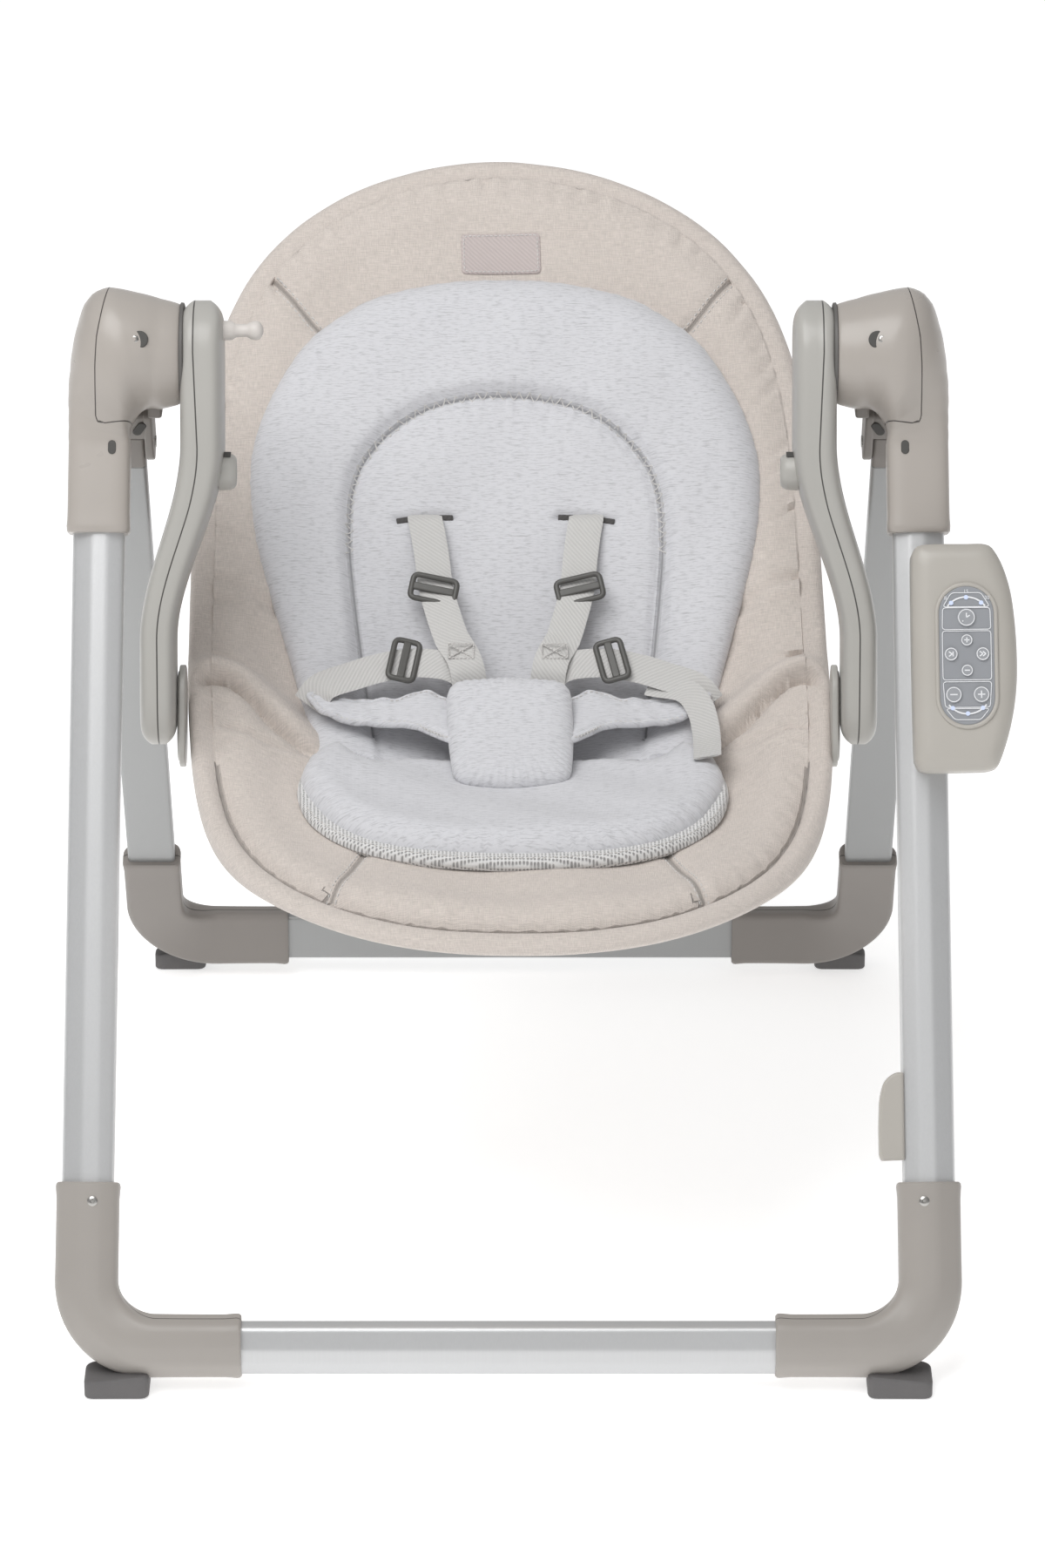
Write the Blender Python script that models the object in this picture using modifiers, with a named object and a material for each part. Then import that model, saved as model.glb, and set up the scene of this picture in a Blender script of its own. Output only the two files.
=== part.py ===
"""Baby swing: a folding tube frame, a swinging bucket seat with a reclining back, and a keypad box.

Everything is written in the hub frame: X = 0 is the middle of the seat, Y = 0 and Z = HUB_HEIGHT is
the axis that the seat swings about, Z = 0 is the floor, and the seat faces -Y. The root empty then
moves it all, so that the origin is at the bottom centre of the whole swing's bounding box.
"""

import bmesh
import bpy
import numpy as np
from mathutils import Matrix, Vector

# Placement of the hub frame under the origin.
CENTRE_X = 0.0180
CENTRE_Y = -0.0110

# Frame: hub axis, base tubes and legs.
HUB_HEIGHT = 0.601
BASE_HEIGHT = 0.030
FRONT_BASE_Y = -0.320
REAR_BASE_Y = 0.298
FRONT_LEG_TOP_X = 0.2685
FRONT_LEG_FOOT_X = 0.2760
REAR_LEG_X = 0.2610
TUBE_WIDE = 0.0340
TUBE_DEEP = 0.0180
TUBE_WALL = 0.0015
TUBE_CORNER = 0.0055
FIT = 0.0003

# Hubs, at both ends of the swing axis.
HUB_OUTER_X = 0.2890
HUB_SPLIT_X = 0.2433
HUB_INNER_X = 0.2167
HUB_RADIUS = 0.0455
DRUM_INNER_RADIUS = 0.0300
DRUM_OUTER_RADIUS = 0.0420
HUB_WALL = 0.0030
AXLE_RADIUS = 0.0060
SLEEVE_END = 0.1200
SLEEVE_WIDE = 0.0430
SLEEVE_DEEP = 0.0260

# Elbows.
ELBOW_WIDE = 0.0410
ELBOW_DEEP = 0.0255
ELBOW_BEND = 0.0450
FRONT_ELBOW_TOP = 0.5460
REAR_ELBOW_TOP = 0.5450
FRONT_SLEEVE_X = 0.1740
REAR_SLEEVE_X = 0.1640
FOOT_HEIGHT = 0.0200
FRONT_FOOT_X = 0.2600
REAR_FOOT_X = 0.2470

# Rear leg pivot, measured down the rear leg from the hub axis.
PIVOT_REACH = 0.0885
PIN_RADIUS = 0.0040

# Swing arms.
ARM_TOP_X = 0.2020
ARM_FOOT_X = 0.2315
ARM_FLARE_TOP_Z = 0.5450
ARM_FLARE_FOOT_Z = 0.4250
ARM_FOOT = (-0.0850, 0.3880)
ARM_TOP_RADIUS = 0.0350
ARM_FOOT_RADIUS = 0.0290
ARM_TOP_HALF = 0.0140
ARM_FOOT_HALF = 0.0095
ARM_WALL = 0.0024
CLIP = (-0.0300, 0.5290)

# Seat: the slope of its centre line from the front lip to the top of the back, in degrees.
SEAT_LENGTH = 0.3050
BACK_LENGTH = 0.4370
BACK_TOP = (0.2900, 0.6420)
SLOPE_AT = (-0.3050, -0.2200, -0.1400, -0.0700, 0.0600, 0.4370)
SLOPE = (14.0, 0.0, -4.0, -4.0, 47.5, 47.5)
SEAT_HALF = 0.2150
BOWL_RISE = 0.0650
BOWL_SPAN = 0.1300
PAD_THICK = 0.0220
PAD_EDGE = 0.9400
REDUCER_THICK = 0.0170
LINER_GAP = 0.0030
LEVER_REACH = 0.3000
STRAP_WIDE = 0.0250
STRAP_THICK = 0.0014
STRAP_TOP = 0.1650
STRAP_FOOT = 0.0770
STRAP_RISE = 0.0260
RAIL_RADIUS = 0.0080
SIDE_PLATE_X = 0.2162
SIDE_PLATE_THICK = 0.0042

# Control box on the right front leg, measured down the leg from the hub axis.
BOX_START = 0.1310
BOX_END = 0.2790
BOX_LEFT_X = 0.2620
BOX_RIGHT_X = 0.3312
BOX_BACK = 0.0125
BOX_FRONT = 0.0420
BOX_SPLIT = 0.0270
BOX_WALL = 0.0024
PANEL_CENTRE_X = 0.2985
PANEL_HALF_WIDE = 0.0185
PANEL_HALF_LONG = 0.0455

# Finishes: colour, roughness and metallic value.
FINISHES = {
    "aluminium": ((0.62, 0.63, 0.64), 0.35, 0.9),
    "taupe_gloss": ((0.40, 0.37, 0.34), 0.25, 0.0),
    "taupe_satin": ((0.45, 0.43, 0.40), 0.40, 0.0),
    "arm_grey": ((0.42, 0.43, 0.40), 0.45, 0.0),
    "dark_rubber": ((0.14, 0.14, 0.14), 0.80, 0.0),
    "steel": ((0.60, 0.60, 0.60), 0.30, 1.0),
    "panel_grey": ((0.29, 0.31, 0.34), 0.30, 0.0),
    "key_grey": ((0.36, 0.38, 0.42), 0.40, 0.0),
    "linen": ((0.68, 0.62, 0.56), 0.95, 0.0),
    "jersey": ((0.62, 0.63, 0.66), 0.95, 0.0),
    "webbing": ((0.70, 0.69, 0.66), 0.90, 0.0),
    "buckle_grey": ((0.11, 0.11, 0.10), 0.45, 0.0),
    "circuit": ((0.05, 0.22, 0.10), 0.55, 0.0),
    "cell": ((0.25, 0.25, 0.28), 0.45, 0.0),
}

SIDES = {"left": -1.0, "right": 1.0}


# ---------------------------------------------------------------- scene and objects


def clear_scene():
    for obj in list(bpy.data.objects):
        bpy.data.objects.remove(obj, do_unlink=True)


def new_collection(name):
    collection = bpy.data.collections.new(name)
    bpy.context.scene.collection.children.link(collection)
    return collection


def new_empty(name, place, parent):
    """An empty on a joint's axis: the moving pieces hang under it."""
    empty = bpy.data.objects.new(name, None)
    PARTS.objects.link(empty)
    empty.location = place
    empty.parent = parent
    return empty


def finish(name):
    """The named Principled material, made on its first use."""
    material = bpy.data.materials.get(name)
    if material is None:
        colour, roughness, metallic = FINISHES[name]
        material = bpy.data.materials.new(name)
        material.use_nodes = True
        shader = material.node_tree.nodes["Principled BSDF"]
        shader.inputs["Base Color"].default_value = (*colour, 1.0)
        shader.inputs["Roughness"].default_value = roughness
        shader.inputs["Metallic"].default_value = metallic
    return material


def take(obj, name, look, carrier):
    """Names an object, gives it its material and hangs it under its joint's empty, without moving it."""
    obj.name = name
    obj.data.name = name
    for collection in list(obj.users_collection):
        collection.objects.unlink(obj)
    is_cutter = look is None
    (CUTTERS if is_cutter else PARTS).objects.link(obj)
    if is_cutter:
        obj.hide_render = True
        obj.display_type = "WIRE"
    else:
        obj.data.materials.clear()
        obj.data.materials.append(finish(look))
    obj.parent = carrier
    offset = Vector((0.0, 0.0, 0.0)) if carrier == ROOT else carrier.location
    obj.matrix_parent_inverse = Matrix.Translation(-offset)
    return obj


def add_bevel(obj, width, segments=2, angle=40.0):
    bevel = obj.modifiers.new("rounded_edges", "BEVEL")
    bevel.width = width
    bevel.segments = segments
    bevel.limit_method = "ANGLE"
    bevel.angle_limit = np.radians(angle)
    return obj


def boolean(obj, other, operation):
    modifier = obj.modifiers.new(other.name, "BOOLEAN")
    modifier.operation = operation
    modifier.object = other
    modifier.solver = "EXACT"
    return obj


def from_bmesh(shape, name, look, carrier):
    mesh = bpy.data.meshes.new(name)
    bmesh.ops.recalc_face_normals(shape, faces=shape.faces)
    shape.to_mesh(mesh)
    shape.free()
    return take(bpy.data.objects.new(name, mesh), name, look, carrier)


def block(name, centre, size, look, carrier, bevel=0.0, turn=(0.0, 0.0, 0.0), segments=2):
    """A box with rounded edges, turned about its centre."""
    shape = bmesh.new()
    bmesh.ops.create_cube(shape, size=1.0, matrix=Matrix.Diagonal((*size, 1.0)))
    obj = from_bmesh(shape, name, look, carrier)
    obj.location = centre
    obj.rotation_euler = turn
    if bevel:
        add_bevel(obj, bevel, segments)
    return obj


def rod(name, start, end, radius, look, carrier, sides=20):
    """A round bar between two points."""
    start, end = Vector(start), Vector(end)
    shape = bmesh.new()
    bmesh.ops.create_cone(
        shape, cap_ends=True, segments=sides, radius1=radius, radius2=radius, depth=(end - start).length
    )
    obj = from_bmesh(shape, name, look, carrier)
    obj.location = (start + end) / 2
    obj.rotation_euler = (end - start).to_track_quat("Z", "Y").to_euler()
    obj.data.shade_smooth()
    obj.data.set_sharp_from_angle(angle=0.6)
    return obj


def turned(name, profile, place, look, carrier, steps=36, mirrored=False):
    """A shape turned about an axis along X. The profile is a ring of (distance along X, radius).

    It is put in the order that runs down its outer side. A ring that starts and ends on the axis is
    left open there.
    """
    ring = [(radius, -along if mirrored else along) for along, radius in profile]
    turns = zip(ring, ring[1:] + ring[:1])
    if sum(a[0] * b[1] - b[0] * a[1] for a, b in turns) > 0:
        ring.reverse()
    shape = bmesh.new()
    corners = [shape.verts.new((radius, 0.0, along)) for radius, along in ring]
    is_open = ring[0][0] == 0.0 and ring[-1][0] == 0.0
    following = corners[1:] if is_open else corners[1:] + corners[:1]
    for a, b in zip(corners, following):
        shape.edges.new((a, b))
    mesh = bpy.data.meshes.new(name)
    shape.to_mesh(mesh)
    shape.free()
    obj = take(bpy.data.objects.new(name, mesh), name, look, carrier)
    obj.location = place
    obj.rotation_euler = (0.0, np.pi / 2, 0.0)
    screw = obj.modifiers.new("turned", "SCREW")
    screw.steps = steps
    screw.render_steps = steps
    screw.use_merge_vertices = True
    screw.merge_threshold = 0.00001
    return obj


def loft(name, outer, inner, look, carrier):
    """A body through rings of points: a sleeve open at both ends, or a solid one if inner is None."""
    outer = np.asarray(outer, dtype=float)
    rings, sides = outer.shape[:2]
    shape = bmesh.new()

    def skin(points):
        grid = [[shape.verts.new(tuple(p)) for p in ring] for ring in points]
        for low, high in zip(grid, grid[1:]):
            for k in range(sides):
                n = (k + 1) % sides
                shape.faces.new((low[k], low[n], high[n], high[k]))
        return grid

    outside = skin(outer)
    if inner is None:
        shape.faces.new(outside[0][::-1])
        shape.faces.new(outside[-1])
    else:
        inside = skin(np.asarray(inner, dtype=float))
        for end in (0, -1):
            for k in range(sides):
                n = (k + 1) % sides
                shape.faces.new((outside[end][k], outside[end][n], inside[end][n], inside[end][k]))
    return from_bmesh(shape, name, look, carrier)


def shell(name, grids, thick, look, carrier, offset=-1.0):
    """Open grids of points with Solidify: offset -1 grows them away from their normals."""
    shape = bmesh.new()
    for points in grids:
        rows, columns = points.shape[:2]
        grid = [[shape.verts.new(tuple(p)) for p in row] for row in points]
        for r in range(rows - 1):
            for c in range(columns - 1):
                shape.faces.new((grid[r][c], grid[r][c + 1], grid[r + 1][c + 1], grid[r + 1][c]))
    mesh = bpy.data.meshes.new(name)
    shape.to_mesh(mesh)
    shape.free()
    obj = take(bpy.data.objects.new(name, mesh), name, look, carrier)
    solidify = obj.modifiers.new("thickness", "SOLIDIFY")
    solidify.thickness = thick
    solidify.offset = offset
    solidify.use_even_offset = True
    return obj


def outline_slab(name, outline, thick, matrix, look, carrier, holes=()):
    """A flat outline with holes, as a filled 2D curve with thickness, placed by a matrix."""
    curve = bpy.data.curves.new(name, "CURVE")
    curve.dimensions = "2D"
    curve.fill_mode = "BOTH"
    curve.extrude = thick / 2
    for ring in (outline, *holes):
        spline = curve.splines.new("POLY")
        spline.points.add(len(ring) - 1)
        for point, (a, b) in zip(spline.points, ring):
            point.co = (a, b, 0.0, 1.0)
        spline.use_cyclic_u = True
    obj = take(bpy.data.objects.new(name, curve), name, look, carrier)
    obj.matrix_basis = matrix
    return obj


def as_mesh(obj):
    """The same object as a welded mesh, so that it can be cut."""
    graph = bpy.context.evaluated_depsgraph_get()
    mesh = bpy.data.meshes.new_from_object(obj.evaluated_get(graph))
    shape = bmesh.new()
    shape.from_mesh(mesh)
    bmesh.ops.remove_doubles(shape, verts=shape.verts, dist=0.00001)
    bmesh.ops.recalc_face_normals(shape, faces=shape.faces)
    shape.to_mesh(mesh)
    shape.free()
    name, carrier, place = obj.name, obj.parent, obj.matrix_basis.copy()
    inverse = obj.matrix_parent_inverse.copy()
    look = obj.data.materials[0].name
    bpy.data.objects.remove(obj, do_unlink=True)
    solid = take(bpy.data.objects.new(name, mesh), name, look, carrier)
    solid.matrix_basis = place
    solid.matrix_parent_inverse = inverse
    return solid


# ---------------------------------------------------------------- outlines


def rounded_rectangle(wide, deep, corner, steps=2):
    """The corners of a rectangle with round corners, anticlockwise about its centre."""
    points = []
    for quarter, (sx, sy) in enumerate(((1, 1), (-1, 1), (-1, -1), (1, -1))):
        for k in range(steps + 1):
            angle = np.pi / 2 * (quarter + k / steps)
            points.append(
                (
                    sx * (wide / 2 - corner) + corner * np.cos(angle),
                    sy * (deep / 2 - corner) + corner * np.sin(angle),
                )
            )
    return points


def stadium(half_wide, half_long, steps=14):
    """An upright stadium about its centre."""
    points = []
    for end in (1.0, -1.0):
        for k in range(steps + 1):
            angle = np.pi * k / steps + (0.0 if end > 0 else np.pi)
            centre = end * (half_long - half_wide)
            points.append((half_wide * np.cos(angle), centre + half_wide * np.sin(angle)))
    return points


# ---------------------------------------------------------------- legs and base


class Leg:
    """The straight line of a leg from the hub axis to its base tube, with distances along it."""

    def __init__(self, top_x, foot_x, base_y):
        self.top = Vector((top_x, 0.0, HUB_HEIGHT))
        self.foot = Vector((foot_x, base_y, BASE_HEIGHT))
        self.length = (self.foot - self.top).length
        self.down = (self.foot - self.top).normalized()
        self.front = Vector((0.0, self.down.z, -self.down.y)).normalized()
        self.side = self.front.cross(self.down).normalized()
        if self.side.x < 0:
            self.side = -self.side

    def at(self, reach, front=0.0, side=0.0):
        return self.top + self.down * reach + self.front * front + self.side * side

    def matrix(self, reach, front=0.0, side=0.0):
        """A frame with X to the side, Y to the front and Z along the leg."""
        turn = Matrix((self.side, self.front, self.side.cross(self.front))).transposed().to_4x4()
        return Matrix.Translation(self.at(reach, front, side)) @ turn


def leg_line(sign, rear):
    if rear:
        return Leg(sign * REAR_LEG_X, sign * REAR_LEG_X, REAR_BASE_Y)
    return Leg(sign * FRONT_LEG_TOP_X, sign * FRONT_LEG_FOOT_X, FRONT_BASE_Y)


def tube_rings():
    outer = rounded_rectangle(TUBE_WIDE, TUBE_DEEP, TUBE_CORNER)
    wide, deep = TUBE_WIDE - 2 * TUBE_WALL, TUBE_DEEP - 2 * TUBE_WALL
    inner = rounded_rectangle(wide, deep, TUBE_CORNER - TUBE_WALL)
    return outer, inner


def leg_tube(name, line, start, end, carrier):
    outer, inner = tube_rings()
    matrix = line.matrix((start + end) / 2)
    return outline_slab(name, outer, end - start, matrix, "aluminium", carrier, (inner,))


def base_tube(name, y, half_length, carrier):
    """A tube along X with its wide side upright."""
    outer, inner = tube_rings()
    turn = Matrix(((0, 0, 1, 0), (0, 1, 0, 0), (-1, 0, 0, 0), (0, 0, 0, 1)))
    matrix = Matrix.Translation((0.0, y, BASE_HEIGHT)) @ turn
    return outline_slab(name, outer, 2 * half_length, matrix, "aluminium", carrier, (inner,))


def elbow_rings(line, top, sleeve_x, wide, deep, corner):
    """Rings from the leg's sleeve, round the bend, to the base sleeve, where the wide side stands up."""
    sign = 1.0 if line.foot.x > 0 else -1.0
    inward = Vector((-sign, 0.0, 0.0))
    corner_point = line.foot
    section = rounded_rectangle(wide, deep, corner)
    upright = Vector((0.0, 1.0 if line.front.y > 0 else -1.0, 0.0))
    rings = []

    def ring(centre, across, front):
        rings.append([centre + across * a + front * b for a, b in section])

    bend_start = line.length - ELBOW_BEND
    for reach in (top, (top + bend_start) / 2, bend_start):
        ring(line.at(reach), line.side * sign, line.front)
    steps = 6
    for k in range(1, steps + 1):
        share = k / steps
        angle = np.pi / 2 * share
        centre = corner_point - line.down * ELBOW_BEND * (1 - np.sin(angle))
        centre = centre + inward * ELBOW_BEND * (1 - np.cos(angle))
        front = line.front.lerp(upright, share).normalized()
        forward = (line.down * np.cos(angle) + inward * np.sin(angle)).normalized()
        across = -inward * np.cos(angle) + line.down * np.sin(angle)
        across = (across - front * across.dot(front)).normalized()
        across = (across - forward * across.dot(forward)).normalized()
        ring(centre, across, forward.cross(across) * (1.0 if forward.cross(across).dot(front) > 0 else -1.0))
    end = Vector((sign * sleeve_x, corner_point.y, corner_point.z))
    ring(end, Vector((0.0, 0.0, -1.0)), upright)
    return rings


def elbow(name, line, top, sleeve_x, carrier):
    outer = elbow_rings(line, top, sleeve_x, ELBOW_WIDE, ELBOW_DEEP, 0.0075)
    wide, deep = TUBE_WIDE + 2 * FIT, TUBE_DEEP + 2 * FIT
    inner = elbow_rings(line, top, sleeve_x, wide, deep, TUBE_CORNER)
    return loft(name, outer, inner, "taupe_satin", carrier)


def foot_pad(side, sign, rear, carrier):
    """A rubber foot under an elbow, shaped to the bend above it."""
    end = "rear" if rear else "front"
    x, y = (REAR_FOOT_X, REAR_BASE_Y) if rear else (FRONT_FOOT_X, FRONT_BASE_Y)
    place = (sign * x, y, FOOT_HEIGHT / 2)
    pad = block(f"{side}_{end}_foot", place, (0.0470, 0.0290, FOOT_HEIGHT), "dark_rubber", carrier)
    top, sleeve_x = (REAR_ELBOW_TOP, REAR_SLEEVE_X) if rear else (FRONT_ELBOW_TOP, FRONT_SLEEVE_X)
    line = leg_line(sign, rear)
    rings = elbow_rings(line, top, sleeve_x, ELBOW_WIDE + 0.0010, ELBOW_DEEP + 0.0010, 0.0080)
    room = loft(f"{side}_{end}_foot_room", rings, None, None, ROOT)
    return boolean(pad, room, "DIFFERENCE")


# ---------------------------------------------------------------- hubs


def hub_cover(side, sign):
    """The glossy outer casing: a drum round the axis that runs on as a sleeve down the front leg."""
    line = leg_line(sign, False)
    width = HUB_OUTER_X - HUB_SPLIT_X
    middle = sign * (HUB_OUTER_X + HUB_SPLIT_X) / 2
    profile = [
        (-width / 2, 0.0),
        (-width / 2, HUB_RADIUS),
        (width / 2 - 0.0120, HUB_RADIUS),
        (width / 2 - 0.0035, HUB_RADIUS - 0.0045),
        (width / 2, HUB_RADIUS - 0.0120),
        (width / 2, 0.0),
    ]
    drum = turned(f"{side}_cover_drum", profile, (middle, 0.0, HUB_HEIGHT), None, ROOT, 32, sign < 0)
    sleeve_middle = SLEEVE_END / 2 + 0.0100
    section = rounded_rectangle(SLEEVE_WIDE, SLEEVE_DEEP, 0.0080)
    length = SLEEVE_END - 0.0200
    matrix = line.matrix(sleeve_middle)
    rings = [[matrix @ Vector((a, b, z)) for a, b in section] for z in (-length / 2, length / 2)]
    cover = loft(f"{side}_hub_cover", rings, None, "taupe_gloss", ROOT)
    boolean(cover, drum, "UNION")
    cavity_ends = [(sign * x, 0.0, HUB_HEIGHT) for x in (HUB_SPLIT_X - 0.01, HUB_OUTER_X - 0.0050)]
    cavity = rod(f"{side}_cover_cavity", *cavity_ends, HUB_RADIUS - HUB_WALL, None, ROOT, 30)
    pocket_section = rounded_rectangle(TUBE_WIDE + 2 * FIT, TUBE_DEEP + 2 * FIT, TUBE_CORNER)
    pocket_rings = [
        [line.matrix(reach) @ Vector((a, b, 0.0)) for a, b in pocket_section]
        for reach in (0.0300, SLEEVE_END + 0.0200)
    ]
    pocket = loft(f"{side}_cover_pocket", pocket_rings, None, None, ROOT)
    boolean(cover, pocket, "DIFFERENCE")
    boolean(cover, cavity, "DIFFERENCE")
    return cover


def hub_drum(side, sign):
    """The cone between the arm and the cover, with a slot below for the fold button."""
    depth = HUB_SPLIT_X - FIT - HUB_INNER_X
    wall = HUB_WALL
    profile = [
        (0.0, AXLE_RADIUS + 0.0004),
        (0.0, DRUM_INNER_RADIUS - 0.0030),
        (0.0030, DRUM_INNER_RADIUS),
        (depth, DRUM_OUTER_RADIUS),
        (depth, DRUM_OUTER_RADIUS - wall),
        (wall, DRUM_INNER_RADIUS - wall),
        (wall, AXLE_RADIUS + 0.0004),
    ]
    drum = turned(
        f"{side}_hub_drum", profile, (sign * HUB_INNER_X, 0.0, HUB_HEIGHT), "taupe_gloss", ROOT, 32, sign < 0
    )
    slot = block(
        f"{side}_button_slot", (sign * 0.2341, 0.0, HUB_HEIGHT - 0.0400), (0.0102, 0.0206, 0.0300), None, ROOT
    )
    boolean(drum, slot, "DIFFERENCE")
    return drum


def hub_inner_parts():
    """Steel axles fixed in the hubs, and the drive motor in the right hub."""
    for side, sign in SIDES.items():
        ends = ((sign * 0.2045, 0.0, HUB_HEIGHT), (sign * 0.2600, 0.0, HUB_HEIGHT))
        rod(f"{side}_axle", *ends, AXLE_RADIUS, "steel", ROOT)
    rod("drive_motor", (0.2606, 0.0, HUB_HEIGHT), (0.2836, 0.0, HUB_HEIGHT), 0.0190, "steel", ROOT, 28)


def pin_ends(line, half_length):
    """The ends of a pin across a rear leg, at its pivot."""
    return [line.at(PIVOT_REACH, 0.0, side) for side in (-half_length, half_length)]


def leg_bracket(side, sign):
    """A fork under the hub: two cheeks and a bridge, with the rear leg's pin through them."""
    line = leg_line(sign, True)
    wide = 0.0470
    body = block(f"{side}_leg_bracket", (0.0, 0.0, 0.0), (wide, 0.0290, 0.0540), "taupe_satin", ROOT, 0.0030)
    body.matrix_basis = line.matrix(0.0745)
    gap = block(f"{side}_bracket_gap", (0.0, 0.0, 0.0), (TUBE_WIDE + 0.0010, 0.0600, 0.0800), None, ROOT)
    gap.matrix_basis = line.matrix(0.0720 + 0.0400)
    hub_ends = [(sign * x, 0.0, HUB_HEIGHT) for x in (0.2000, 0.3000)]
    hub_room = rod(f"{side}_bracket_hub_room", *hub_ends, HUB_RADIUS + 0.0005, None, ROOT, 32)
    pin_room = rod(f"{side}_bracket_pin_room", *pin_ends(line, 0.04), PIN_RADIUS + 0.0003, None, ROOT)
    for cutter in (gap, hub_room, pin_room):
        boolean(body, cutter, "DIFFERENCE")
    return body


# ---------------------------------------------------------------- control box


def control_box():
    """Back and front shells, the panel with its keys, and what the box holds."""
    line = leg_line(1.0, False)
    middle = (BOX_START + BOX_END) / 2
    length = BOX_END - BOX_START
    centre_x = (BOX_LEFT_X + BOX_RIGHT_X) / 2
    wide = BOX_RIGHT_X - BOX_LEFT_X

    def side_of(x):
        return x - line.at(middle).x

    def place(front, x=centre_x, reach=middle):
        return line.matrix(reach, front, side_of(x))

    def part(name, front_from, front_to, size, look, bevel=0.0, x=centre_x, reach=middle):
        depth = front_to - front_from
        obj = block(name, (0.0, 0.0, 0.0), (size[0], depth, size[1]), look, ROOT, bevel, segments=3)
        obj.matrix_basis = place((front_from + front_to) / 2, x, reach)
        return obj

    wall = BOX_WALL
    past = 0.0100
    room_size = (wide - 2 * wall, length - 2 * wall)
    front = part("control_box_front", BOX_SPLIT + FIT, BOX_FRONT, (wide, length), "taupe_satin", 0.0075)
    front_room = part("box_front_room", BOX_SPLIT - past, BOX_FRONT - wall, room_size, None)
    back = part("control_box_back", BOX_BACK, BOX_SPLIT, (wide, length), "taupe_satin", 0.0050)
    back_room = part("box_back_room", BOX_BACK + wall, BOX_SPLIT + past, room_size, None)
    boolean(front, front_room, "DIFFERENCE")
    boolean(back, back_room, "DIFFERENCE")

    panel_turn = Matrix(((1, 0, 0, 0), (0, 0, -1, 0), (0, 1, 0, 0), (0, 0, 0, 1)))
    panel_place = place(BOX_FRONT - wall / 2, PANEL_CENTRE_X) @ panel_turn
    hole_outline = stadium(PANEL_HALF_WIDE + FIT, PANEL_HALF_LONG + FIT)
    hole = as_mesh(outline_slab("panel_room", hole_outline, 2 * past, panel_place, "steel", ROOT))
    take(hole, "panel_room", None, ROOT)
    boolean(front, hole, "DIFFERENCE")

    thick = 0.0016
    panel_front = BOX_FRONT + 0.0002
    key_outlines = []
    keys = key_layout()
    for name, (side, along, half_wide, half_long) in keys.items():
        ring = [(side + a, b - along) for a, b in stadium(half_wide + 0.0004, half_long + 0.0004, 8)]
        key_outlines.append(ring[::-1])
    matrix = place(panel_front - thick / 2, PANEL_CENTRE_X) @ panel_turn
    panel_outline = stadium(PANEL_HALF_WIDE, PANEL_HALF_LONG)
    outline_slab("control_panel", panel_outline, thick, matrix, "panel_grey", ROOT, key_outlines)
    for name, (side, along, half_wide, half_long) in keys.items():
        key_thick = 0.0024
        key_front = panel_front + 0.0004 - key_thick / 2
        spot = line.matrix(middle - along, key_front, side_of(PANEL_CENTRE_X) + side)
        carrier = new_empty(f"{name}_travel", spot.translation, ROOT)
        outline = stadium(half_wide, half_long, 8)
        outline_slab(name, outline, key_thick, spot @ panel_turn, "key_grey", carrier)

    part("circuit_board", 0.0300, 0.0316, (0.0480, 0.1080), "circuit", x=0.2970)
    speaker_top = place(0.0170, 0.2965, middle + 0.0450)
    speaker_ends = (speaker_top @ Vector((0, -0.0010, 0)), speaker_top @ Vector((0, 0.0110, 0)))
    rod("loudspeaker", *speaker_ends, 0.0180, "dark_rubber", ROOT, 28)
    door_reach = middle - 0.0220
    part("battery_pack", 0.0152, 0.0290, (0.0440, 0.0800), "cell", 0.0050, reach=door_reach)
    door_from, door_to = BOX_BACK - past, BOX_BACK + wall + past
    door_room = part("battery_door_room", door_from, door_to, (0.0460, 0.0860), None, reach=door_reach)
    boolean(back, door_room, "DIFFERENCE")
    part("battery_door", BOX_BACK, BOX_BACK + 0.0020, (0.0454, 0.0854), "taupe_satin", reach=door_reach)


def key_layout():
    """Each key's middle from the panel's middle (side, up the leg), and its half width and half length."""
    return {
        "timer_key": (0.0000, 0.0200, 0.0062, 0.0063),
        "volume_up_key": (0.0000, 0.0078, 0.0036, 0.0037),
        "play_key": (-0.0105, -0.0010, 0.0044, 0.0045),
        "next_key": (0.0105, -0.0010, 0.0044, 0.0045),
        "volume_down_key": (0.0000, -0.0102, 0.0036, 0.0037),
        "slower_key": (-0.0072, -0.0240, 0.0052, 0.0053),
        "faster_key": (0.0072, -0.0240, 0.0052, 0.0053),
    }


# ---------------------------------------------------------------- arms


def arm_middle_x(z):
    """The arm is upright below the hub, then flares outwards in a straight line to its foot."""
    share = np.clip((ARM_FLARE_TOP_Z - z) / (ARM_FLARE_TOP_Z - ARM_FLARE_FOOT_Z), 0.0, 1.0)
    return ARM_TOP_X + (ARM_FOOT_X - ARM_TOP_X) * share


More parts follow.
